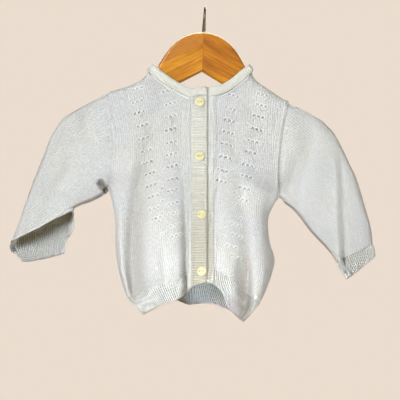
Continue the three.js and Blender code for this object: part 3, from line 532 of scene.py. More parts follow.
def shared_levels(level):
    """How far a level is into the armhole, and how far round the shoulder it has turned."""
    above = (level - CHEST_LEVEL) / (1 - CHEST_LEVEL) * ARMHOLE_HEIGHT
    below_top = ARMHOLE_HEIGHT - above
    roll = np.where(below_top < SHOULDER_ROLL,
                    superellipse(np.clip(1 - below_top / SHOULDER_ROLL, 0, 1), 2), 1)
    return smooth_step(0, ARMHOLE_BLEND, above), roll


def front_surface(face, levels, armhole, shoulder, neck, hem, band_offset):
    """The outer face of one front. across runs from the side to the band."""
    shoulder_line, neck_line, bottom = edge_line(shoulder), edge_line(neck), edge_line(hem)
    side, side_depth = armhole_side(levels, armhole, True)

    def top(across):
        return np.where((across < NECK_START)[..., None], shoulder_line(across / NECK_START),
                        neck_line((across - NECK_START) / (1 - NECK_START)))

    def centre(level):
        share = (level - CHEST_LEVEL) / (1 - CHEST_LEVEL)
        upper = np.stack([mix(levels[c][-1], neck[-1][k], share)
                          for k, c in enumerate(("centreX", "centreZ"))], -1)
        lower = np.stack([read(levels, "level", c, level) for c in ("centreX", "centreZ")], -1)
        return np.where((level > CHEST_LEVEL)[..., None], upper, lower)

    def surface(across, level):
        flat = coons(side, centre, bottom, top, across, level)
        x, z = flat[..., 0], flat[..., 1]
        above_chest, roll = shared_levels(level)
        over_neck = np.maximum(across - NECK_START, 0) / (1 - NECK_START)
        neck_depth = (body_depth("front", neck[-1][1])
                      * superellipse(1 - over_neck, FRONT_NECK_EXPONENT))
        full_depth = (body_depth("front", z)
                      * mix(superellipse(1 - across, BODY_EXPONENT), 1, above_chest))
        folds = (fold_height(FOLDS[face], x, z) * smooth_step(0, 0.12, across)
                 * smooth_step(0, 0.05, 1 - across))
        depth = mix(neck_depth, full_depth + folds, roll)
        at_armhole = above_chest * (1 - across) ** 4
        lap = band_offset * smooth_step(0.55, 1, across)
        y = -mix(depth - lap, -side_depth(level), at_armhole)
        return np.stack([x, y, z], -1)

    return surface


def back_surface(across, level):
    """The outer face of the back, from the wearer's right side to the left side."""
    start, width = BACK_NECK_START, 1 - 2 * BACK_NECK_START
    right_line, left_line, neck_line, bottom = (
        edge_line(p) for p in (RIGHT_SHOULDER, LEFT_SHOULDER[::-1], BACK_NECK, BACK_HEM))
    right, right_depth = armhole_side(RIGHT_LEVELS, RIGHT_SLEEVE, False)
    left, left_depth = armhole_side(LEFT_LEVELS, LEFT_SLEEVE, False)

    def top(a):
        shoulder = np.where((a < 0.5)[..., None], right_line(a / start),
                            left_line((a - 1 + start) / start))
        return np.where(((a < start) | (a > 1 - start))[..., None], shoulder,
                        neck_line((a - start) / width))

    flat = coons(right, left, bottom, top, across, level)
    x, z = flat[..., 0], flat[..., 1]
    above_chest, roll = shared_levels(level)
    from_middle = np.abs(2 * across - 1)
    over_neck = np.maximum(width - from_middle, 0) / width
    neck_depth = (body_depth("back", BACK_NECK[4][1])
                  * superellipse(1 - over_neck, BACK_NECK_EXPONENT))
    full_depth = (body_depth("back", z)
                  * mix(superellipse(from_middle, BODY_EXPONENT), 1, above_chest))
    folds = fold_height(FOLDS["back"], x, z) * smooth_step(0, 0.15, 1 - from_middle)
    depth = mix(neck_depth, full_depth + folds, roll)
    edge_depth = np.where(across < 0.5, right_depth(level), left_depth(level))
    y = mix(depth, edge_depth, above_chest * from_middle ** 8)
    return np.stack([x, y, z], -1)


# ------------------------------------------------------------------ meshes

def even_shares(line, count, start=0.0, end=1.0):
    """Shares from start to end that cut a line, given as a function, into even lengths."""
    fine = np.linspace(start, end, 1200)
    run = run_along(line(fine), 0)
    return np.interp(np.linspace(0, run[-1], count + 1), run, fine)


def row_of(surface, level):
    """The line across a surface at one level."""
    return lambda across: surface(across, np.full_like(across, level))


def column_of(surface, across):
    """The line up a surface at one share across."""
    return lambda level: surface(np.full_like(level, across), level)


def rib_columns(line, pitch):
    """How many ribs fit along a line, and the shares of it that give each the same steps."""
    count = round(run_along(line(np.linspace(0, 1, 800)), 0)[-1] / pitch)
    return count, even_shares(line, count * RIB_STEPS)


def grid_normals(points, ring):
    """Unit normals of a grid of points, rows first. Their sense follows the grid's."""
    if ring:
        along = np.roll(points, -1, 1) - np.roll(points, 1, 1)
    else:
        along = np.gradient(points, axis=1)
    up = np.gradient(points, axis=0)
    return unit(np.cross(along, up))


def grid_quads(rows, columns, ring):
    """The quads of a grid of points, row by row. A ring's columns close on themselves."""
    i = np.arange(rows - 1)[:, None] * columns
    j = np.arange(columns if ring else columns - 1)[None, :]
    a, b = i + j, i + (j + 1) % columns
    return np.stack([a, b, b + columns, a + columns], -1).reshape(-1, 4)


def rim_quads(loop, shift, closed):
    """Quads between a line of outer points and the inner points behind them."""
    a = loop if closed else loop[:-1]
    b = np.roll(loop, -1) if closed else loop[1:]
    return np.stack([a, a + shift, b + shift, b], -1)


def wall_faces(rows, columns, ring):
    """Quads of a closed wall: the outer grid, the inner grid and the rims."""
    shift = rows * columns
    outer = grid_quads(rows, columns, ring)
    grid = np.arange(shift).reshape(rows, columns)
    rims = [rim_quads(grid[0], shift, ring), rim_quads(grid[-1][::-1], shift, ring)]
    if not ring:
        rims += [rim_quads(grid[::-1, 0], shift, False), rim_quads(grid[:, -1], shift, False)]
    return outer, outer[:, ::-1] + shift, np.concatenate(rims)


def signed_volume(points, quads):
    """Six times the volume inside a mesh, negative if its faces look inwards."""
    a, b, c, d = (points[quads[:, k]] for k in range(4))
    return (np.einsum("ij,ij->", a, np.cross(b, c)) + np.einsum("ij,ij->", a, np.cross(c, d)))


def make_mesh(name, points, quads, uv=None, shade=None):
    """A smooth-shaded mesh of quads in metres from points in millimetres. shade is how much
    painted shade greys the cloth at each point, where it lies deep in a fold or hollow."""
    if signed_volume(points, quads) < 0:
        quads = quads[:, ::-1]
    mesh = bpy.data.meshes.new(name)
    mesh.vertices.add(len(points))
    mesh.vertices.foreach_set("co", (points * MM).astype(np.float32).ravel())
    mesh.loops.add(quads.size)
    mesh.loops.foreach_set("vertex_index", quads.astype(np.int32).ravel())
    mesh.polygons.add(len(quads))
    mesh.polygons.foreach_set("loop_start", np.arange(0, quads.size, 4, dtype=np.int32))
    mesh.update(calc_edges=True)
    mesh.polygons.foreach_set("use_smooth", np.ones(len(quads), bool))
    if uv is not None:
        layer = mesh.uv_layers.new(name="cloth")
        layer.uv.foreach_set("vector", uv[quads.ravel()].astype(np.float32).ravel())
    if shade is not None:
        layer = mesh.attributes.new("shade", "FLOAT", "POINT")
        layer.data.foreach_set("value", shade.astype(np.float32).ravel())
    mesh.validate()
    return mesh


def add_object(name, data):
    """Puts a mesh, camera or light in the scene."""
    item = bpy.data.objects.new(name, data)
    bpy.context.scene.collection.objects.link(item)
    return item


def add_piece(name, mesh, material, slot, *nodes):
    """Puts a mesh in the scene, on the part's one body, in place of the CAD nodes named."""
    piece = add_object(name, mesh)
    mesh.materials.append(material)
    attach(piece, BODY)
    if nodes:
        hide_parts(*nodes)
    return piece


def place_of(points, share, level):
    """What a grid's surface detail is worked out from: its places, the distances to its edges
    in millimetres, and its shares across and up the panel."""
    across, up = run_along(points, 1), run_along(points, 0)
    return {"x": points[..., 0], "z": points[..., 2], "across": across, "up": up,
            "to_end": across[:, -1:] - across, "to_top": up[-1:] - up,
            "share": share, "level": level}


def cloth_wall(surface, us, vs, thickness, outward, detail, ring=False, keep=None, both=False):
    """The outer and inner grids of a wall. detail moves the outer face in or out, and with
    both it moves the inner face the other way, as a rib does."""
    columns = us[:-1] if ring else us
    across, level = np.meshgrid(columns, vs)
    base = surface(across, level)
    normal = grid_normals(base, ring) * outward
    height = detail(place_of(base, across, level))[..., None]
    outer = base + normal * height
    inner = base - normal * (thickness + (height if both else 0))
    if keep:
        outer, inner = keep(outer, across, level), keep(inner, across, level)
    return outer, inner, normal


def texture_plane(points, ring, pitch, angle=0.0, shear=(0.0, 0.0)):
    """Texture places counted in wales and courses, which follow the cloth and not its depth."""
    if ring:
        closed = np.concatenate([points, points[:, :1]], 1)
        run = run_along(closed, 1)
        half = points.shape[1] // 2
        front, whole = run[:, half:half + 1], run[:, -1:]
        run = run[:, :-1]
        share = np.where(run <= front, 1 - 2 * run / front,
                         -1 + 2 * (run - front) / (whole - front))
        top, low = points[:, 0][:, None], points[:, half][:, None]
        length = (whole / 2)[..., None]
        flat = (top + low) / 2 + unit(top - low) * share[..., None] * length / 2
        x, z = flat[..., 0], flat[..., 2]
        c, s = math.cos(angle), math.sin(angle)
        return np.stack([x * c + z * s, -x * s + z * c], -1) / pitch
    x, z = run_along(points[..., :2], 1), points[..., 2]
    return np.stack([x + shear[0] * z, z + shear[1] * x], -1) / pitch


def punch(outer, inner, places):
    """Cuts small round holes through a wall at the grid points nearest to the places given.
    Returns the points and faces that are left, with the holes' own walls, and which of the
    wall's points they are."""
    rows, columns = outer.shape[:2]
    shift = rows * columns
    flat_outer, flat_inner = outer.reshape(-1, 3).copy(), inner.reshape(-1, 3).copy()
    ring = np.array([-columns - 1, -columns, -columns + 1, 1, columns + 1, columns,
                     columns - 1, -1])
    removed, walls, taken = [], [], np.zeros(shift, bool)
    for x, z in places:
        radius = mix(*EYELET_RADIUS, smooth_step(-235, -175, z))
        near = np.hypot(flat_outer[:, 0] - x, flat_outer[:, 2] - z)
        near[flat_outer[:, 1] > 0] = 1e9
        centre = int(np.argmin(near))
        row, column = divmod(centre, columns)
        block = centre + ring
        if not (3 < row < rows - 4 and 3 < column < columns - 4) or taken[block].any():
            continue
        taken[block] = taken[centre] = True
        across = unit(flat_outer[centre + 1] - flat_outer[centre - 1])
        up = unit(flat_outer[centre + columns] - flat_outer[centre - columns])
        turns = np.array([225, 270, 315, 0, 45, 90, 135, 180]) * math.pi / 180
        circle = (np.cos(turns)[:, None] * across * radius * EYELET_STRETCH
                  + np.sin(turns)[:, None] * up * radius)
        flat_outer[block] = flat_outer[centre] + circle
        flat_inner[block] = flat_inner[centre] + circle
        removed.append(centre)
        walls.append(rim_quads(block, shift, True))
    outer_faces, inner_faces, rims = wall_faces(rows, columns, False)
    gone = np.zeros(2 * shift, bool)
    gone[removed] = True
    gone[np.array(removed, int) + shift] = True
    kept = [f[~gone[f].any(1)] for f in (outer_faces, inner_faces)]
    quads = np.concatenate([*kept, rims, *[w[:, ::-1] for w in walls]])
    points = np.concatenate([flat_outer, flat_inner])
    index = np.cumsum(~gone) - 1
    return points[~gone], index[quads], ~gone


def tube(line, radius, sides=8, up=(0, -1, 0)):
    """Points and quads of a round tube along a line, closed by points at its ends."""
    line = np.array(line, float)
    radius = np.broadcast_to(radius, len(line))
    tangent = unit(np.gradient(line, axis=0))
    normal = unit(np.cross(tangent, np.cross(np.array(up, float), tangent)))
    side = np.cross(tangent, normal)
    turns = np.arange(sides) * 2 * np.pi / sides
    ring = (np.cos(turns)[None, :, None] * normal[:, None]
            + np.sin(turns)[None, :, None] * side[:, None])
    body = line[:, None] + ring * radius[:, None, None]
    points = np.concatenate([np.repeat(line[:1], sides, 0), body.reshape(-1, 3),
                             np.repeat(line[-1:], sides, 0)])
    return points, grid_quads(len(line) + 2, sides, True)


def join(parts):
    """Several (points, quads) as one."""
    points, quads, shift = [], [], 0
    for p, q in parts:
        if signed_volume(p - p.mean(0), q) < 0:
            q = q[:, ::-1]
        points.append(p)
        quads.append(q + shift)
        shift += len(p)
    return np.concatenate(points), np.concatenate(quads)


# ------------------------------------------------------------------ materials

def linear(red, green, blue):
    """A screen colour from 0 to 255 as Blender's linear colour."""
    return tuple(((c / 255 + 0.055) / 1.055) ** 2.4 if c > 10 else c / 255 / 12.92
                 for c in (red, green, blue)) + (1.0,)


class Value:
    """A number that a material works out, so that its formulas are written with operators."""

    def __init__(self, shader, socket):
        self.shader, self.socket = shader, socket

    def math(self, operation, *others):
        return self.shader.math(operation, self, *others)

    def __add__(self, other):
        return self.math("ADD", other)

    def __sub__(self, other):
        return self.math("SUBTRACT", other)

    def __mul__(self, other):
        return self.math("MULTIPLY", other)

    def __pow__(self, other):
        return self.math("POWER", other)

    def __abs__(self):
        return self.math("ABSOLUTE")

    def clamped(self):
        """The same number, kept from 0 to 1."""
        self.socket.node.use_clamp = True
        return self


class Shader:
    """A material's node tree, with short ways to add nodes and formulas."""

    def __init__(self, name, **settings):
        self.material = bpy.data.materials.new(name)
        self.material.use_nodes = True
        self.nodes = self.material.node_tree.nodes
        self.links = self.material.node_tree.links
        self.surface = self.nodes["Principled BSDF"]
        for socket, value in settings.items():
            self.surface.inputs[socket.replace("_", " ")].default_value = value

    def add(self, kind, settings=None, **inputs):
        node = self.nodes.new("ShaderNode" + kind)
        for key, value in (settings or {}).items():
            setattr(node, key, value)
        for key, value in inputs.items():
            self.put(node.inputs[key.replace("_", " ")], value)
        return node

    def put(self, socket, value):
        if isinstance(value, Value):
            value = value.socket
        if isinstance(value, bpy.types.NodeSocket):
            self.links.new(value, socket)
        else:
            socket.default_value = value

    def math(self, operation, *values):
        node = self.add("Math", {"operation": operation})
        for socket, value in zip(node.inputs, values):
            self.put(socket, value)
        return Value(self, node.outputs[0])

    def place(self):
        """The point's own place, in metres."""
        return self.add("TexCoord").outputs["Object"]

    def cloth_place(self):
        """The point's place on the cloth, counted in wales or ribs and in courses."""
        return self.add("UVMap", {"uv_map": "cloth"}).outputs[0]

    def split(self, vector):
        node = self.add("SeparateXYZ", Vector=vector)
        return [Value(self, output) for output in node.outputs]

    def distance(self, vector, point):
        node = self.add("VectorMath", {"operation": "DISTANCE"})
        self.put(node.inputs[0], vector)
        self.put(node.inputs[1], point)
        return Value(self, node.outputs["Value"])

    def noise(self, vector, scale, detail=2.0, roughness=0.5):
        node = self.add("TexNoise", Vector=vector, Scale=scale, Detail=detail,
                        Roughness=roughness)
        return Value(self, node.outputs[0])

    def ramp(self, factor, *stops):
        node = self.nodes.new("ShaderNodeValToRGB")
        elements = node.color_ramp.elements
        while len(elements) < len(stops):
            elements.new(0.5)
        for element, (position, colour) in zip(elements, stops):
            element.position = position
            element.color = colour
        self.put(node.inputs[0], factor)
        return node.outputs[0]

    def blend(self, factor, a, b, kind="MIX"):
        node = self.nodes.new("ShaderNodeMix")
        node.data_type = "RGBA"
        node.blend_type = kind
        self.put(node.inputs[0], factor)
        self.put(node.inputs[6], a)
        self.put(node.inputs[7], b)
        return node.outputs[2]

    def scaled(self, vector, factors):
        return self.add("Mapping", Vector=vector, Scale=factors).outputs[0]

    def finish(self, colour, height, distance):
        self.put(self.surface.inputs["Base Color"], colour)
        node = self.add("Bump", Height=height, Distance=distance, Strength=1.0)
        self.put(self.surface.inputs["Normal"], node.outputs[0])
        return self.material


def stitch_height(shader):
    """The height of plain knit from 0 to 1: columns of slanting V-shaped stitches."""
    u, v, _ = shader.split(shader.cloth_place())
    wobble = shader.noise(shader.cloth_place(), 0.11) * 0.9
    in_wale = abs((u + wobble).math("FRACT") - 0.5)
    wave = ((v + wobble + in_wale * 1.3) * (2 * math.pi)).math("SINE")
    leg = abs((in_wale * (2 * math.pi)).math("SINE")) ** 0.5
    column = (in_wale * math.pi).math("COSINE")
    return (leg * 0.4 + column * 0.6) * (wave * 0.3 + 0.7)


def rib_height(shader):
    """The height of close ribs from 0 to 1. They lie on whole numbers of the first place."""
    u, v, _ = shader.split(shader.cloth_place())
    crest = ((u * (2 * math.pi)).math("COSINE") * 0.5 + 0.5) ** 0.6
    wave = ((v + crest * 0.4) * (2 * math.pi)).math("SINE")
    return crest * (wave * 0.12 + 0.88)


def knit_material(name, form, colour, mottle_and_hollow_shade, depth):
    """Matt cotton knit: stitches or ribs, soft fuzz, uneven tone and painted shade. colour is the
    screen colour of its crests, and the second colour is painted into its hollows as shade and
    into the darker spots of its random mottle. depth is in metres."""
    shader = Shader(name, Roughness=0.92, Sheen_Weight=0.2, Sheen_Roughness=0.5,
                    Specular_IOR_Level=0.2)
    stitches = form(shader)
    place = shader.place()
    fuzz = shader.noise(place, 1500, 2.0, 0.7)
    mottle = shader.noise(place, 420, 2.0, 0.7)
    cloud = shader.noise(place, 22, 2.0)
    tone = (mottle - 0.5) * 1.4 + stitches
    # The stitches' hollows are painted in the darker colour as shade; the mottle's darker spots
    # take it too.
    base = shader.blend(tone.clamped(), linear(*mottle_and_hollow_shade), linear(*colour))
    tint = shader.ramp(cloud, (0.35, (0.975, 0.985, 1.0, 1)), (0.65, (1.0, 1.0, 0.975, 1)))
    base = shader.blend(1.0, base, tint, "MULTIPLY")
    # Painted shade: the shade attribute multiplies the colour towards SHADE_COLOUR in folds,
    # hollows and under overhangs.
    shade = shader.add("Attribute", {"attribute_name": "shade"}).outputs["Fac"]
    base = shader.blend(shade, base, SHADE_COLOUR, "MULTIPLY")
    return shader.finish(base, stitches + fuzz * 0.4 + mottle * 0.6, depth)


def wood_material(name, side):
    """Varnished hardwood. Each arm is two boards glued along a slanting line, with the grain
    along that line, and the boards differ in tone. The right arm's upper board is worn. A pale
    highlight is painted where the surface faces upwards, along the board's top edge."""
    shader = Shader(name, Roughness=0.45, Coat_Weight=0.25, Coat_Roughness=0.2,
                    Specular_IOR_Level=0.25)
    place = shader.place()
    along = shader.add("Mapping", Vector=place,
                       Rotation=(0, -side * BOARD_SLOPE[side], 0)).outputs[0]
    grain = shader.noise(shader.scaled(along, (22, 160, 420)), 1.0, 4.0, 0.62)
    broad = shader.noise(shader.scaled(along, (9, 40, 75)), 1.0, 3.0)
    pores = shader.noise(shader.scaled(along, (110, 900, 1500)), 1.0, 2.0, 0.6)
    x, _, z = shader.split(place)
    from_joint = abs(x - HANGER_APEX[0] * MM)
    board_line = from_joint * -math.tan(BOARD_SLOPE[side]) + BOARD_LINE_Z[side] * MM
    board_line += broad * 0.003 - 0.0015
    upper = ((z - board_line) * 900).clamped()
    tone = broad * 0.9 + grain * 0.6
    light = shader.ramp(tone, (0.54, linear(134, 76, 2)), (0.72, linear(172, 108, 8)),
                        (0.90, linear(204, 142, 34)))
    if side < 0:
        peel = shader.noise(place, 1000, 3.0, 0.65)
        worn = shader.ramp(peel, (0.34, linear(152, 90, 22)), (0.68, linear(192, 130, 44)))
        colour = shader.blend(upper, light, worn)
    else:
        dark = shader.ramp(tone, (0.54, linear(132, 74, 2)), (0.72, linear(172, 105, 5)),
                           (0.90, linear(204, 140, 20)))
        colour = shader.blend(upper, dark, light)
    pore_mask = shader.ramp(pores, (0.3, (0.72, 0.62, 0.5, 1)), (0.46, (1, 1, 1, 1)))
    colour = shader.blend(0.8, colour, pore_mask, "MULTIPLY")
    glue = (from_joint * 1800).clamped()
    colour = shader.blend(glue, linear(150, 90, 24), colour)
    if side > 0:
        for knot_x, knot_z, size in KNOTS:
            away = shader.distance(shader.scaled(place, (1, 0, 1)), (knot_x * MM, 0, knot_z * MM))
            mask = ((away + broad * 0.004) * (1 / (size * MM))).clamped()
            colour = shader.blend(mask, linear(126, 66, 20), colour)
    # A painted highlight: a pale colour where the surface faces upwards, along the top edge.
    _, _, upward = shader.split(shader.add("NewGeometry").outputs["Normal"])
    painted_top_highlight = ((upward - 0.4) * 2.8).clamped()
    colour = shader.blend(painted_top_highlight, colour, linear(255, 238, 198))
    return shader.finish(colour, grain + pores * 0.5, 0.00012)


def button_material():
    """Pale yellow plastic, a little cloudy."""
    shader = Shader("button_plastic", Roughness=0.35, Coat_Weight=0.35, Coat_Roughness=0.15)
    place = shader.place()
    cloud = shader.noise(place, 260, 3.0, 0.6)
    colour = shader.ramp(cloud, (0.3, linear(200, 197, 150)), (0.7, linear(212, 209, 170)))
    return shader.finish(colour, cloud, 0.0002)


def wire_material():
    """Dulled steel, stained and darker towards its top."""
    shader = Shader("hook_wire", Metallic=0.5, Roughness=0.5)
    place = shader.place()
    drawn = shader.noise(shader.scaled(place, (3000, 3000, 120)), 1.0, 2.0)
    stain = shader.noise(place, 160, 3.0, 0.6)
    colour = shader.ramp(stain, (0.35, linear(84, 72, 46)), (0.65, linear(118, 112, 96)))
    _, _, height = shader.split(place)
    top = ((height + 0.007) * 160).clamped()
    colour = shader.blend(top, colour, linear(70, 44, 26))
    shader.put(shader.surface.inputs["Roughness"], stain * 0.3 + 0.25)
    return shader.finish(colour, drawn, 0.00001)


def thread_material():
    """Twisted cream thread."""
    shader = Shader("sewing_thread", Roughness=0.8)
    place = shader.place()
    twist = shader.noise(place, 3200, 2.0)
    colour = shader.ramp(twist, (0.3, linear(214, 208, 156)), (0.7, linear(236, 232, 196)))
    return shader.finish(colour, twist, 0.0002)


KNIT = knit_material("knit", stitch_height, (243, 245, 245), (203, 205, 204), 0.0012)
RIB = knit_material("rib", rib_height, (224, 226, 223), (170, 173, 170), 0.0009)
BAND = knit_material("band", rib_height, (222, 223, 215), (203, 204, 195), 0.0005)
UNDER_BAND = knit_material("under_band", rib_height, (210, 212, 207), (192, 195, 189), 0.0003)
NECK = knit_material("neck", rib_height, (222, 223, 215), (199, 200, 192), 0.0003)
YARN = knit_material("yarn", rib_height, (250, 251, 252), (232, 234, 235), 0.0002)
THREAD = thread_material()
BUTTON = button_material()
WIRE = wire_material()


# ------------------------------------------------------------------ body of the cardigan

def uneven(x, z):
    """Slow unevenness of the knit, up to about half a millimetre."""
    return (0.22 * np.sin(x / 4.7 + 1.3 * np.sin(z / 13.0)) * np.cos(z / 6.1 + 0.4)
            + 0.25 * np.sin(z / 9.7 + 1.1 * np.sin(x / 11.0) + 1.0)
            + 0.12 * np.sin(x / 2.6 + z / 7.3) * np.sin(z / 3.9 - x / 8.1))


def rib(count, height):
    """A knit rib's rounded profile, with its ridges on the whole numbers."""
    wave = 0.5 + 0.5 * np.cos(2 * np.pi * count)
    return height * (2 * wave ** 0.7 - 1)


def beside_armhole(level):
    """From 0 at a panel's side seam to 1 at its armhole."""
    return smooth_step(CHEST_LEVEL - 0.03, CHEST_LEVEL + 0.02, level)


def front_detail(place):
    """Uneven knit, with raised seams along the armhole, the band and the welt."""
    height = uneven(place["x"], place["z"]) * smooth_step(0, 3, place["across"])
    height += beside_armhole(place["level"]) * bump(place["across"] - 2.2, 1.6)
    height += 0.9 * bump(place["to_end"] - 2.0, 1.0) - 0.8 * bump(place["to_end"], 0.9)
    return height + 0.35 * bump(place["up"] - 0.6, 0.8)


def back_detail(place):
    """Uneven knit, with a raised seam along each armhole."""
    edge = np.minimum(place["across"], place["to_end"])
    height = uneven(place["x"] + 31, place["z"] - 17) * smooth_step(0, 3, edge)
    return height + 0.7 * beside_armhole(place["level"]) * bump(edge - 2.0, 1.6)


def ribs_across(count):
    """Ribs that run up a wall, and a top edge that slips under the cloth above it."""
    def detail(place):
        share = place["across"] / place["across"][:, -1:]
        edge = smooth_step(0, 0.6, place["up"])
        slip = RIB_SLIP * (1 - smooth_step(0.2, 1.1, place["to_top"]))
        return rib(share * count, WELT_RIB_HEIGHT) * edge - slip
    return detail


def rib_places(grid, count, ring, course=1.6):
    """Texture places of a ribbed wall: the rib's number, and the courses along it."""
    rows, columns = grid.shape[:2]
    step = np.arange(columns) * count / (columns if ring else columns - 1)
    return np.stack(np.broadcast_arrays(step[None, :], run_along(grid, 0) / course), -1)


def keep_front(towards_centre):
    """Keeps a front clear of its sleeve at the armhole, and ahead of the middle plane."""
    def keep(points, across, level):
        seam = (across == 0) & (level >= CHEST_LEVEL)
        points[..., 0] += np.where(seam, towards_centre * SEAM_GAP, 0)
        points[..., 1] = np.minimum(points[..., 1], -SEAM_GAP / 2)
        return points
    return keep


def keep_back(points, across, level):
    """Keeps the back clear of both sleeves, and behind the middle plane."""
    above = level >= CHEST_LEVEL
    points[..., 0] += np.where((across == 0) & above, SEAM_GAP, 0)
    points[..., 0] -= np.where((across == 1) & above, SEAM_GAP, 0)
    points[..., 1] = np.maximum(points[..., 1], SEAM_GAP / 2)
    return points


def fold_shade(face, points, full=16.0, limit=SHADE["fold"]):
    """The painted shade of the cloth, up to a limit, by the depth of the folds it lies in. full
    is the depth that gives the limit."""
    height = fold_height(FOLDS[face], points[..., 0], points[..., 2])
    return limit * smooth_step(0.15, 1.0, -height / full)


def overhang_shade(points):
    """The painted shadow on the cloth under the right sleeve's overhanging lower edge."""
    x, z = points[..., 0], points[..., 2]
    below = np.interp(x, OVERHANG_X, OVERHANG_Z) - z
    return (1 - smooth_step(7, 15, below)) * smooth_step(-213, -203, x)


def add_wall(name, grids, ring, uv, material, slot, node, shade=None, inner_shade=None):
    """A wall from its grids as a piece that replaces a node. The inner face gets no painted shade
    unless a shade is given for it."""
    outer, inner, _ = grids
    rows, columns = outer.shape[:2]
    points = np.concatenate([outer.reshape(-1, 3), inner.reshape(-1, 3)])
    quads = np.concatenate(wall_faces(rows, columns, ring))
    uv = uv.reshape(-1, 2)
    if shade is not None:
        behind = np.zeros(shade.shape) if inner_shade is None else inner_shade
        shade = np.concatenate([shade.ravel(), behind.ravel()])
    mesh = make_mesh(name, points, quads, np.concatenate([uv, uv]), shade)
    return add_piece(name, mesh, material, slot, node)


def lace_places(rows, singles, rise):
    """The arches of every lace row: three to a row, climbing towards the centre front."""
    steps = (-EYELET_PITCH, 0, EYELET_PITCH)
    return [(x + step, z + step * rise) for x, z in rows for step in steps] + list(singles)


def eyelet_shade(outer, places):
    """The painted shade of the cloth in and round its eyelets."""
    shade = np.zeros(outer.shape[:2])
    for x, z in places:
        away = np.hypot((outer[..., 0] - x) / EYELET_STRETCH, outer[..., 2] - z - 0.5)
        full = mix(SHADE["low eyelet"], SHADE["high eyelet"], smooth_step(-235, -165, z))
        shade = np.maximum(shade, full * (1 - smooth_step(0.9, 1.8, away)))
    return shade


def panel_point(outer, normal, x, z):
    """The point of a front panel at X and Z, and its normal there."""
    flat, normals = outer.reshape(-1, 3), normal.reshape(-1, 3)
    near = np.hypot(flat[:, 0] - x, flat[:, 2] - z)
    i = int(np.argmin(near))
    p, n = flat[i], normals[i]
    y = p[1] - (n[0] * (x - p[0]) + n[2] * (z - p[2])) / n[1] if abs(n[1]) > 0.2 else p[1]
    return np.array([x, y, z]), n


def lace_yarn(outer, normal, x, z, rise):
    """The yarn of one eyelet: an arch over it, and a loop that stands up in its middle. Their
    places are in X, in Z and out from the cloth."""
    strands = []
    turns = np.linspace(-0.1 * math.pi, 1.1 * math.pi, 13)
    arch = [(ARCH_HALF_WIDTH * math.cos(t), ARCH_HEIGHT * math.sin(t), 0.35) for t in turns]
    loop = [(0.15, -2.6, 0.1), (0.05, -1.8, 0.3), (0, -1.1, 0.4), (0, -0.5, 0.1)]
    for places, radius in ((arch, ARCH_YARN_RADIUS), (loop, LOOP_YARN_RADIUS)):
        line = []
        for dx, dz, lift in places:
            point, n = panel_point(outer, normal, x + dx - 0.25 * rise * dz,
                                   z + dz + rise * dx)
            line.append(point + n * lift)
        strands.append(tube(line, radius, 6))
    return strands


def add_front(side, surface, rows, singles):
    """One front's knit, its lace yarn and its ribbed welt."""
    inward = 1 if side == "right" else -1
    rise = inward * LACE_RISE
    us = even_shares(row_of(surface, 0.4), FRONT_STEPS[0])
    vs = even_shares(column_of(surface, 0.6), FRONT_STEPS[1], WELT_LEVEL, 1)
    keep = keep_front(inward)
    outer, inner, normal = cloth_wall(surface, us, vs, KNIT_THICKNESS, inward, front_detail,
                                      keep=keep)
    places = lace_places(rows, singles, rise)
    open_places = [place for place in places if place[1] < OPEN_LACE_TOP]
    points, quads, kept = punch(outer, inner, open_places)
    uv = texture_plane(outer, False, BODY_WALE, shear=(inward * 0.1, -inward * 0.28))
    uv = uv.reshape(-1, 2)
    # Painted shade in the folds and in and round the eyelets, on the outer face only.
    shade = np.maximum(fold_shade(side, outer), eyelet_shade(outer, places)).ravel()
    mesh = make_mesh("knit_front_" + side, points, quads, np.concatenate([uv, uv])[kept],
                     np.concatenate([shade, np.zeros_like(shade)])[kept])
    front = add_piece("knit_front_" + side, mesh, KNIT, "knit", "front_" + side)
    yarn = join([strand for x, z in places for strand in lace_yarn(outer, normal, x, z, rise)])
    yarn = add_piece("lace_yarn_" + side, make_mesh("lace_yarn_" + side, *yarn), YARN, "knit")
    add_welt("front_" + side, side, surface, inward, keep)


def add_welt(name, face, surface, outward, keep):
    """The ribbed welt below a panel, with painted shade in its folds. The back's has painted
    shade inside, behind the right front.
    """
    count, us = rib_columns(row_of(surface, WELT_LEVEL / 2), WELT_RIB_PITCH)
    vs = np.linspace(0, WELT_LEVEL + 0.006, 18)
    grids = cloth_wall(surface, us, vs, RIB_THICKNESS, outward, ribs_across(count), keep=keep,
                       both=True)
    behind = None
    # Painted shade on the inside of the back's welt, behind the right front.
    if face == "back":
        behind = SHADE["inside back welt"] * (1 - smooth_step(-27, -13, grids[1][..., 0]))
    welt = add_wall("rib_welt_" + name, grids, False, rib_places(grids[0], count, False), RIB,
                    "rib", "welt_" + name, fold_shade(face, grids[0]), behind)


def add_back():
    """The back's plain knit and its ribbed welt."""
    us = even_shares(row_of(back_surface, 0.4), BACK_STEPS[0])
    vs = even_shares(column_of(back_surface, 0.2), BACK_STEPS[1], WELT_LEVEL, 1)
    grids = cloth_wall(back_surface, us, vs, KNIT_THICKNESS, -1, back_detail, keep=keep_back)
    uv = texture_plane(grids[0], False, BODY_WALE)
    back = add_wall("knit_back", grids, False, uv, KNIT, "knit", "back")
    add_welt("back", "back", back_surface, -1, keep_back)


# ------------------------------------------------------------------ sleeves

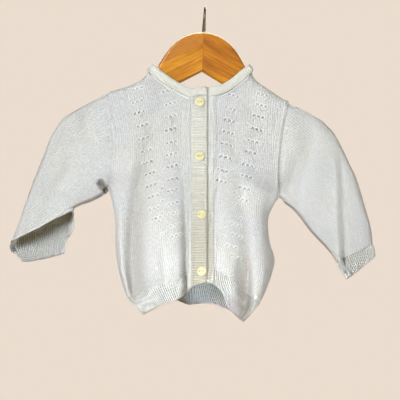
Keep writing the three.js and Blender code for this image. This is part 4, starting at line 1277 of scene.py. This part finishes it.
def sleeve_shade(side, outer, turn, at, pit):
    """The painted shade of a sleeve's outer face: in its folds, its armpit hollow, under the right
    sleeve's overhang and along its lower edge.
    """
    is_front = np.sin(2 * np.pi * turn) >= 0
    shade = fold_shade(f"sleeve_{side}_front", outer, 4.0, SHADE["sleeve fold"])
    shade = shade * (outer[..., 1] < 0)
    if pit:
        hollow = pit_height(*pit, outer[..., 0], outer[..., 2]) * (outer[..., 1] < 12)
        shade = np.maximum(shade, SHADE["armpit"] * smooth_step(1, 10, hollow))
    if side == "right":
        tucked = smooth_step(-4, 4, outer[..., 1]) * is_front
        shade = np.maximum(shade, overhang_shade(outer) * tucked)
    # Painted shade along the front of the lower edge.
    from_low = 1 + np.cos(2 * np.pi * turn)
    edge = np.where(is_front, 1 - smooth_step(0.0375, 0.13125, from_low), 0)
    return np.maximum(shade, SHADE["sleeve edge"] * edge * smooth_step(0.02, 0.1, at)
                      * (1 - smooth_step(0.8, 0.9, at)))


def add_sleeve(side, rows, grain_angle, pit, tuck, sink, step):
    """A sleeve. sink is how far its first centimetre lies below the armhole."""
    outward = -1 if side == "right" else 1
    surface = sleeve_surface(rows, FOLDS[f"sleeve_{side}_front"], FOLDS[f"sleeve_{side}_back"],
                             pit, tuck, step)
    us = even_shares(row_of(surface, 0.4), SLEEVE_STEPS[0])
    vs = even_shares(column_of(surface, 0.25), SLEEVE_STEPS[1])

    def detail(place):
        height = uneven(place["x"] + 7, place["z"] + 13) * smooth_step(0, 5, place["up"]) - 0.3
        height -= 1 - smooth_step(0.8, 2.4, place["up"])
        height -= sink * (1 - smooth_step(1, 12, place["up"]))
        return height + 0.3 * bump(place["to_top"] - 0.8, 0.8)

    grids = cloth_wall(surface, us, vs, KNIT_THICKNESS, outward, detail, ring=True)
    turn, at = np.meshgrid(us[:-1], vs)
    # Painted shadow of the overhang on the inside of the right sleeve's back.
    behind = None
    if side == "right":
        behind = overhang_shade(grids[1]) * (np.sin(2 * np.pi * turn) < 0)
    uv = texture_plane(sleeve_surface(rows)(turn, at), True, SLEEVE_WALE, grain_angle)
    sleeve = add_wall("knit_sleeve_" + side, grids, True, uv, KNIT, "knit", "sleeve_" + side,
                      sleeve_shade(side, grids[0], turn, at, pit), behind)


def add_cuff(side, rows, sleeve_rows):
    """A sleeve's ribbed cuff, whose top slips into the sleeve's end."""
    outward = -1 if side == "right" else 1
    surface = sleeve_surface(rows, FOLDS[f"cuff_{side}_front"])

    count, us = rib_columns(row_of(surface, 0.5), CUFF_RIB_PITCH)
    vs = np.linspace(0, 1, 18)

    def detail(place):
        edge = smooth_step(0, 0.6, place["to_top"])
        number = np.arange(place["share"].shape[1]) / RIB_STEPS
        slip = RIB_SLIP * (1 - smooth_step(0.2, 1.3, place["up"]))
        return rib(number[None, :], CUFF_RIB_HEIGHT) * edge - slip

    outer, inner, normal = cloth_wall(surface, us, vs, RIB_THICKNESS, outward, detail,
                                      ring=True, both=True)
    sleeve, turns = sleeve_surface(sleeve_rows), us[:-1]
    slip = row_of(sleeve, 0.99)(turns) - row_of(sleeve, 1.0)(turns)
    ease = (1 - smooth_step(0, 0.12, vs))[:, None, None] * slip[None]
    # Painted shadow of the sleeve's overhang on the right cuff's front and inside its back.
    shade, behind = np.zeros(outer.shape[:2]), None
    if side == "right":
        is_front = np.sin(2 * np.pi * turns) >= 0
        shade, behind = overhang_shade(outer) * is_front, overhang_shade(inner) * ~is_front
    cuff = add_wall("rib_cuff_" + side, (outer + ease, inner + ease, normal), True,
                    rib_places(outer, count, True), RIB, "rib", "cuff_" + side, shade, behind)


# ------------------------------------------------------------------ bands

def add_front_band(name, node, material, ribs, from_x, to_x, low_from, low_to, offset=0.0):
    """A front band with ribs across it, a raised seam on one edge and a looped other edge. It
    reaches from from_x to to_x, and down to the Z of low_from and low_to at those sides."""
    def surface(across, level):
        z = mix(mix(low_from, low_to, across), BAND_TOP, level)
        return np.stack([mix(from_x, to_x, across), offset - body_depth("front", z), z], -1)

    def detail(place):
        from_edge = place["share"] * (to_x - from_x)
        to_edge = (1 - place["share"]) * (to_x - from_x)
        z = place["z"]
        height = rib(z / BAND_RIB_PITCH, ribs) * smooth_step(0, 1.5, from_edge)
        loops = 0.5 + 0.5 * np.cos(2 * np.pi * z / 2.4)
        height += (0.2 + 0.7 * loops) * bump(to_edge - 1.3, 0.7)
        height += 0.5 * bump(from_edge - 2.0, 0.9) - 0.3 * bump(to_edge - 3.0, 0.6)
        for x, button_z in BUTTON_PLACES:
            height -= 0.35 * bump(np.hypot(place["x"] - x, z - button_z), 7)
        return height

    us = np.linspace(0, 1, 23)
    vs = np.linspace(0, 1, 780)
    grids = cloth_wall(surface, us, vs, BAND_THICKNESS, 1, detail)
    x, z = grids[0][..., 0], grids[0][..., 2]
    uv = np.stack([z / BAND_RIB_PITCH, x / 1.5], -1)
    # Painted shade, none above Z -150 and full from Z -270 down, where the band lies in a fold.
    shade = SHADE["low band"] * (1 - smooth_step(-270, -150, z))
    band = add_wall(name, grids, False, uv, material, "band", node, shade)


def add_neckband(seam_chain):
    """The ribbed neckband: a full, rounded band round the neck, with its ends lapped."""
    rows = dict(NECKBAND, at=np.arange(len(NECKBAND["seamX"]), dtype=float))

    def part(at, which):
        return np.stack([read(rows, "at", which + "X", at), -read(rows, "at", which + "Depth", at),
                         read(rows, "at", which + "Z", at)], -1)

    stations = even_shares(lambda s: part(s, "seam"), 1400, 0, len(rows["at"]) - 1)
    seam, edge = part(stations, "seam"), part(stations, "edge")
    seam = seam + unit(seam - edge) * NECKBAND_TUCK
    run = run_along(seam, 0)
    tangent = unit(np.gradient(seam, axis=0))
    half = (edge - seam) / 2
    outwards = unit(np.cross(unit(half), tangent))
    # A rounded section, whose corners run round it from the free edge, and its drawn-in ends.
    corners = 22
    turns = 2 * np.pi * np.arange(corners) / corners
    up = np.sign(np.cos(turns)) * np.abs(np.cos(turns)) ** 0.9
    out = np.sign(np.sin(turns)) * np.abs(np.sin(turns)) ** 0.95
    ends = 1 - 0.35 * bump(np.minimum(run, run[-1] - run), 0.7)
    ribs = rib(run / NECK_RIB_PITCH, NECK_RIB_HEIGHT)[:, None] * np.abs(out)[None, :]
    ribs += 0.12 * np.sin(run / 5.3)[:, None]
    thickness = NECKBAND_THICKNESS / 2 * ends[:, None] * out[None, :] + ribs * np.sign(out)
    middle = seam + half
    body = (middle[:, None] + half[:, None] * up[None, :, None] * ends[:, None, None]
            + outwards[:, None] * thickness[..., None])
    points = np.concatenate([np.repeat(middle[:1], corners, 0), body.reshape(-1, 3),
                             np.repeat(middle[-1:], corners, 0)])
    uv_run = np.concatenate([run[:1], run, run[-1:]])
    uv = np.stack(np.broadcast_arrays(uv_run[:, None] / NECK_RIB_PITCH, turns[None, :] * 3), -1)
    quads = grid_quads(len(run) + 2, corners, True)
    mesh = make_mesh("neckband_rib", points, quads, uv.reshape(-1, 2))
    band = add_piece("neckband_rib", mesh, NECK, "band", "neckband")


def beaded(line, radius, pitch):
    """A chain of stitches along a line: a tube that swells and narrows."""
    count = int(edge_line(line).length / pitch * 6)
    fine = edge_line(line)(np.linspace(0, 1, count))
    run = run_along(fine, 0)
    return tube(fine, radius * (0.78 + 0.3 * np.abs(np.sin(np.pi * run / pitch))), 7)


def add_neck_seam(right, left):
    """The looped seam under the neckband, on both fronts and the back."""
    chains = []
    for surface, start, end, count, sign in (
            (right, NECK_START, 1, 14, -1), (left, NECK_START, 1, 14, -1),
            (back_surface, BACK_NECK_START, 1 - BACK_NECK_START, 20, 1)):
        line = row_of(surface, NECK_SEAM_LEVEL)(np.linspace(start + 0.03, end - 0.03, count))
        line[:, 1] += sign * 1.1
        line[:, 2] -= 0.4
        chains.append(beaded(line, 0.5, 1.6))
    return add_piece("neck_seam_chain", make_mesh("neck_seam_chain", *join(chains)), YARN,
                     "band")


# ------------------------------------------------------------------ buttons

def button_mesh(name, x, z):
    """A soft-edged domed button with two holes, tilted with the band it lies on."""
    outline = edge_line(BUTTON_PROFILE)(np.linspace(0, 1, 64))
    outline[:, 0] = np.clip(outline[:, 0], 0, BUTTON_DIAMETER / 2)
    outline[:, 1] = np.clip(outline[:, 1], 0, BUTTON_HEIGHT)
    sides = 72
    turns = 2 * np.pi * np.arange(sides) / sides
    px = outline[:, :1] * np.cos(turns) * BUTTON_NARROWING
    pz = outline[:, :1] * np.sin(turns)
    rise = np.broadcast_to(outline[:, 1:], px.shape).copy()
    on_face = np.arange(len(outline))[:, None] > 30
    for hole in (-BUTTON_HOLE_OFFSET, BUTTON_HOLE_OFFSET):
        away = np.hypot(px - hole, pz)
        rise -= np.where(on_face, 1.7 * (1 - smooth_step(0.65, 1.0, away)), 0)
    points = np.stack([px, -rise, pz], -1).reshape(-1, 3) @ button_turn(z).T
    return make_mesh(name, points + button_seat(x, z), grid_quads(len(outline), sides, True))


def button_turn(z):
    """The turn about X that lays a button on the slope of the front at a height."""
    step = 4.0
    low, high = (float(body_depth("front", z + d)) for d in (-step, step))
    angle = math.atan((high - low) / (2 * step))
    c, s = math.cos(angle), math.sin(angle)
    return np.array([(1, 0, 0), (0, c, -s), (0, s, c)])


def button_seat(x, z):
    """Where the middle of a button's back lies."""
    return np.array([x, -(float(body_depth("front", z)) + BUTTON_GAP), z])


def add_buttons():
    """The buttons, each sewn on by two threads over its two holes."""
    for index, (x, z) in enumerate(BUTTON_PLACES, start=1):
        name = f"button_face_{index}"
        add_piece(name, button_mesh(name, x, z), BUTTON, "button", f"button_{index}")
        threads = []
        for lift in (-0.16, 0.16):
            across = np.linspace(-BUTTON_HOLE_OFFSET, BUTTON_HOLE_OFFSET, 15)
            out = 0.9 + 1.6 * superellipse(across / 1.95, 3)
            line = np.stack([across, -out, lift + 0.12 * across], -1)
            threads.append(tube(line @ button_turn(z).T + button_seat(x, z), 0.17, 6))
        name = f"button_thread_{index}"
        add_piece(name, make_mesh(name, *join(threads)), THREAD, "button")


# ------------------------------------------------------------------ hanger

def hanger_outline():
    """One closed outline of the board, from the apex round by the wearer's left."""
    head = edge_line(HANGER_HEAD)(np.linspace(0, 1, 60))
    head[0, 0] = 0
    arm = edge_line((HANGER_HEAD[-1], *HANGER_ARM, *HANGER_TIP, *HANGER_LOWER_EDGE,
                     HANGER_NOTCH))(np.linspace(0, 1, 200))[1:]
    half = np.vstack([head, arm])
    mirrored = half[1:-1][::-1] * (-1, 1)
    return np.vstack([half, mirrored])


def hanger_board():
    """The whole board as a bmesh: the outline with its edges rounded front and back."""
    outline = hanger_outline()
    ahead = np.roll(outline, -1, 0) - outline
    behind = outline - np.roll(outline, 1, 0)
    tangent = unit(unit(ahead) + unit(behind))
    inward = np.stack([tangent[:, 1], -tangent[:, 0]], -1)
    turns = np.linspace(math.pi / 2, -math.pi / 2, 13)
    layers = [(HANGER_EDGE_RADIUS + 0.6, -HANGER_THICKNESS / 2)]
    flat = HANGER_THICKNESS / 2 - HANGER_EDGE_RADIUS
    for turn in turns:
        reach = math.sin(turn)
        layers.append((HANGER_EDGE_RADIUS * (1 - math.cos(turn)),
                       -(math.copysign(flat, reach) if reach else 0)
                       - HANGER_EDGE_RADIUS * reach))
    layers.append((HANGER_EDGE_RADIUS + 0.6, HANGER_THICKNESS / 2))
    board = bmesh.new()
    rings = []
    for inset, y in layers:
        ring = outline + inward * inset
        rings.append([board.verts.new((p[0] * MM, y * MM, p[1] * MM)) for p in ring])
    for first, second in zip(rings, rings[1:]):
        for i in range(len(first)):
            j = (i + 1) % len(first)
            board.faces.new((first[i], first[j], second[j], second[i]))
    board.faces.new(rings[0][::-1])
    board.faces.new(rings[-1])
    board.transform(Matrix.Translation(HANGER_JOINT) @ Matrix.Rotation(HANGER_TILT, 4, "Y"))
    bmesh.ops.recalc_face_normals(board, faces=board.faces)
    return board


def add_hanger():
    """The board cut into its two arms, which meet at a mitre under the hook."""
    plane = Matrix.Rotation(HANGER_TILT, 4, "Y") @ Vector((1, 0, 0))
    for side, sideways in (("right", -1), ("left", 1)):
        board = hanger_board()
        gap = plane * (HANGER_HALF_GAP * MM * sideways)
        everything = [*board.verts, *board.edges, *board.faces]
        bmesh.ops.bisect_plane(board, geom=everything, plane_co=HANGER_JOINT + gap,
                               plane_no=plane, clear_outer=sideways < 0,
                               clear_inner=sideways > 0)
        edges = [e for e in board.edges if e.is_boundary]
        bmesh.ops.holes_fill(board, edges=edges, sides=0)
        bmesh.ops.triangulate(board, faces=[f for f in board.faces if len(f.verts) > 4])
        bmesh.ops.recalc_face_normals(board, faces=board.faces)
        mesh = bpy.data.meshes.new("hanger_wood_" + side)
        board.to_mesh(mesh)
        board.free()
        mesh.polygons.foreach_set("use_smooth", np.ones(len(mesh.polygons), bool))
        mesh.set_sharp_from_angle(angle=math.radians(40))
        add_piece("hanger_wood_" + side, mesh, wood_material("wood_" + side, sideways), "wood",
                  "hanger_arm_" + side)


def add_hook():
    """The hook's bent wire, rounded at its two ends."""
    line = edge_line(HOOK_WIRE)(np.linspace(0, 1, 200))
    run = run_along(line, 0)
    ends = np.minimum(run[-1] - run, WIRE_DIAMETER / 2) / (WIRE_DIAMETER / 2)
    radius = WIRE_DIAMETER / 2 * np.sqrt(np.maximum(1 - (1 - ends) ** 2, 0.02))
    points, quads = tube(line, radius, 24, up=(1, 0, 0))
    add_piece("hook_bent_wire", make_mesh("hook_bent_wire", points, quads), WIRE, "wire", "hook")


# ------------------------------------------------------------------ building the cardigan

right_front = front_surface("right", RIGHT_LEVELS, RIGHT_SLEEVE, RIGHT_SHOULDER, RIGHT_NECK,
                            RIGHT_HEM, 0.0)
left_front = front_surface("left", LEFT_LEVELS, LEFT_SLEEVE, LEFT_SHOULDER, LEFT_NECK,
                           LEFT_HEM, LAP_DEPTH)

add_front("right", right_front, LACE_RIGHT, SINGLE_EYELETS_RIGHT)
add_front("left", left_front, LACE_LEFT, SINGLE_EYELETS_LEFT)
add_back()
add_sleeve("right", RIGHT_SLEEVE, math.radians(90 + 32), ARMPIT, tuck=-1.8, sink=0.2,
           step=strip_height(4.5, 2.0, 0.8))
add_cuff("right", RIGHT_CUFF, RIGHT_SLEEVE)
add_sleeve("left", LEFT_SLEEVE, math.radians(90 - 42), None, tuck=1.8, sink=3.2,
           step=strip_height(1.2, 0.9, 0.97))
add_cuff("left", LEFT_CUFF, LEFT_SLEEVE)
add_front_band("band_buttonhole", "buttonhole_band", BAND, ribs=0.16,
               from_x=RIGHT_FRONT_EDGE - BAND_OVERLAP, to_x=RIGHT_FRONT_EDGE + BAND_WIDTH,
               low_from=-307, low_to=-301)
add_front_band("band_button", "button_band", UNDER_BAND, ribs=0.05,
               from_x=LEFT_FRONT_EDGE - BAND_WIDTH, to_x=LEFT_FRONT_EDGE + BAND_OVERLAP,
               low_from=-300, low_to=-304, offset=LAP_DEPTH)
add_neckband(add_neck_seam(right_front, left_front))
add_buttons()
add_hanger()
add_hook()


# ------------------------------------------------------------------ camera, light and floor

FRAME_WIDTH = 0.440
CAMERA_DISTANCE = 4.0
CAMERA_TARGET = Vector((-0.0058, 0.0, -0.2110))
CAMERA_ELEVATION = math.radians(-2)
SENSOR = 36.0
FLOOR_Z = -1.9
FLOOR_HALF_WIDTH = 12.0
STUDIO_COLOUR = (235, 221, 207)
FLOOR_COLOUR = (240, 228, 214)
FILL_COLOUR = (1.0, 0.74, 0.42, 1)
FILL_STRENGTH = 0.17


def add_camera():
    """A long lens, far off, at the height of the hem."""
    camera = bpy.data.cameras.new("camera")
    camera.sensor_width = SENSOR
    camera.lens = SENSOR * CAMERA_DISTANCE / FRAME_WIDTH
    camera.clip_end = 100
    holder = add_object("camera", camera)
    back = Vector((0, -math.cos(CAMERA_ELEVATION), math.sin(CAMERA_ELEVATION)))
    holder.location = CAMERA_TARGET + back * CAMERA_DISTANCE
    holder.rotation_euler = (-back).to_track_quat("-Z", "Y").to_euler()
    bpy.context.scene.camera = holder


def add_light(name, place, size, power, colour, target=CAMERA_TARGET, spread=180):
    """A rectangular light at a place, turned to a target. power is in watts, and spread is its
    beam in degrees."""
    light = bpy.data.lights.new(name, "AREA")
    light.spread = math.radians(spread)
    light.shape = "RECTANGLE"
    light.size, light.size_y = size
    light.energy = power
    light.color = colour
    holder = add_object(name, light)
    holder.location = place
    aim = Vector(target) - Vector(place)
    holder.rotation_euler = aim.to_track_quat("-Z", "Y").to_euler()


def show_plain(tree, lit, output, kind):
    """Lets the camera see the studio's plain colour, while other rays get the lit shader."""
    seen = tree.nodes.new(kind)
    seen.inputs["Color"].default_value = linear(*STUDIO_COLOUR)
    rays = tree.nodes.new("ShaderNodeLightPath")
    choose = tree.nodes.new("ShaderNodeMixShader")
    tree.links.new(rays.outputs["Is Camera Ray"], choose.inputs[0])
    tree.links.new(lit.outputs[0], choose.inputs[1])
    tree.links.new(seen.outputs[0], choose.inputs[2])
    tree.links.new(choose.outputs[0], output.inputs["Surface"])


def add_surroundings():
    """A pale warm room, whose light fills the shadows, and its pale floor."""
    world = bpy.data.worlds.new("studio")
    world.use_nodes = True
    bpy.context.scene.world = world
    nodes = world.node_tree.nodes
    fill = nodes["Background"]
    fill.inputs["Color"].default_value = FILL_COLOUR
    fill.inputs["Strength"].default_value = FILL_STRENGTH
    show_plain(world.node_tree, fill, nodes["World Output"], "ShaderNodeBackground")
    corners = [(x * FLOOR_HALF_WIDTH, y * FLOOR_HALF_WIDTH, FLOOR_Z)
               for x, y in ((-1, -1), (1, -1), (1, 1), (-1, 1))]
    mesh = bpy.data.meshes.new("floor")
    mesh.from_pydata(corners, [], [(0, 1, 2, 3)])
    floor = add_object("floor", mesh)
    paint = Shader("floor_paint", Roughness=0.9)
    paint.surface.inputs["Base Color"].default_value = linear(*FLOOR_COLOUR)
    show_plain(paint.material.node_tree, paint.surface, paint.nodes["Material Output"],
               "ShaderNodeEmission")
    mesh.materials.append(paint.material)


add_camera()

# The key comes from the wearer's right. top, belly and low are narrow beams on the hanger's
# head, the front's lower middle and the inside of the back's hem.
add_light("key", (-1.2, -2.0, 0.55), (1.1, 1.0), 5.1, (0.95, 0.97, 1.0),
          target=(0.0, 0.0, -0.28), spread=46)
add_light("front", (0.0, -2.3, 1.35), (1.6, 1.2), 4, (0.90, 0.95, 1.0))
add_light("side", (1.9, -2.0, -0.1), (1.6, 1.4), 27, (0.94, 0.97, 1.0))
add_light("under", (0.1, -2.2, -1.05), (1.4, 0.8), 12, (0.96, 0.98, 1.0))
add_light("top", (0.0, -0.6, 0.7), (0.1, 0.06), 0.006, (1.0, 0.98, 0.92),
          target=(0.0, 0.0, -0.015), spread=6)
add_light("behind", (0.2, 1.4, 0.5), (1.2, 1.0), 30, (1.0, 0.98, 0.96))
add_light("belly", (-0.7, -2.1, -0.75), (0.2, 0.15), 0.038, (0.97, 0.98, 1.0),
          target=(-0.01, 0.0, -0.27), spread=5.5)
add_light("low", (0.0, -1.1, -0.93), (0.08, 0.06), 0.02, (0.97, 0.98, 1.0),
          target=(-0.002, 0.028, -0.318), spread=7)
add_surroundings()
bpy.context.scene.view_settings.view_transform = "Standard"
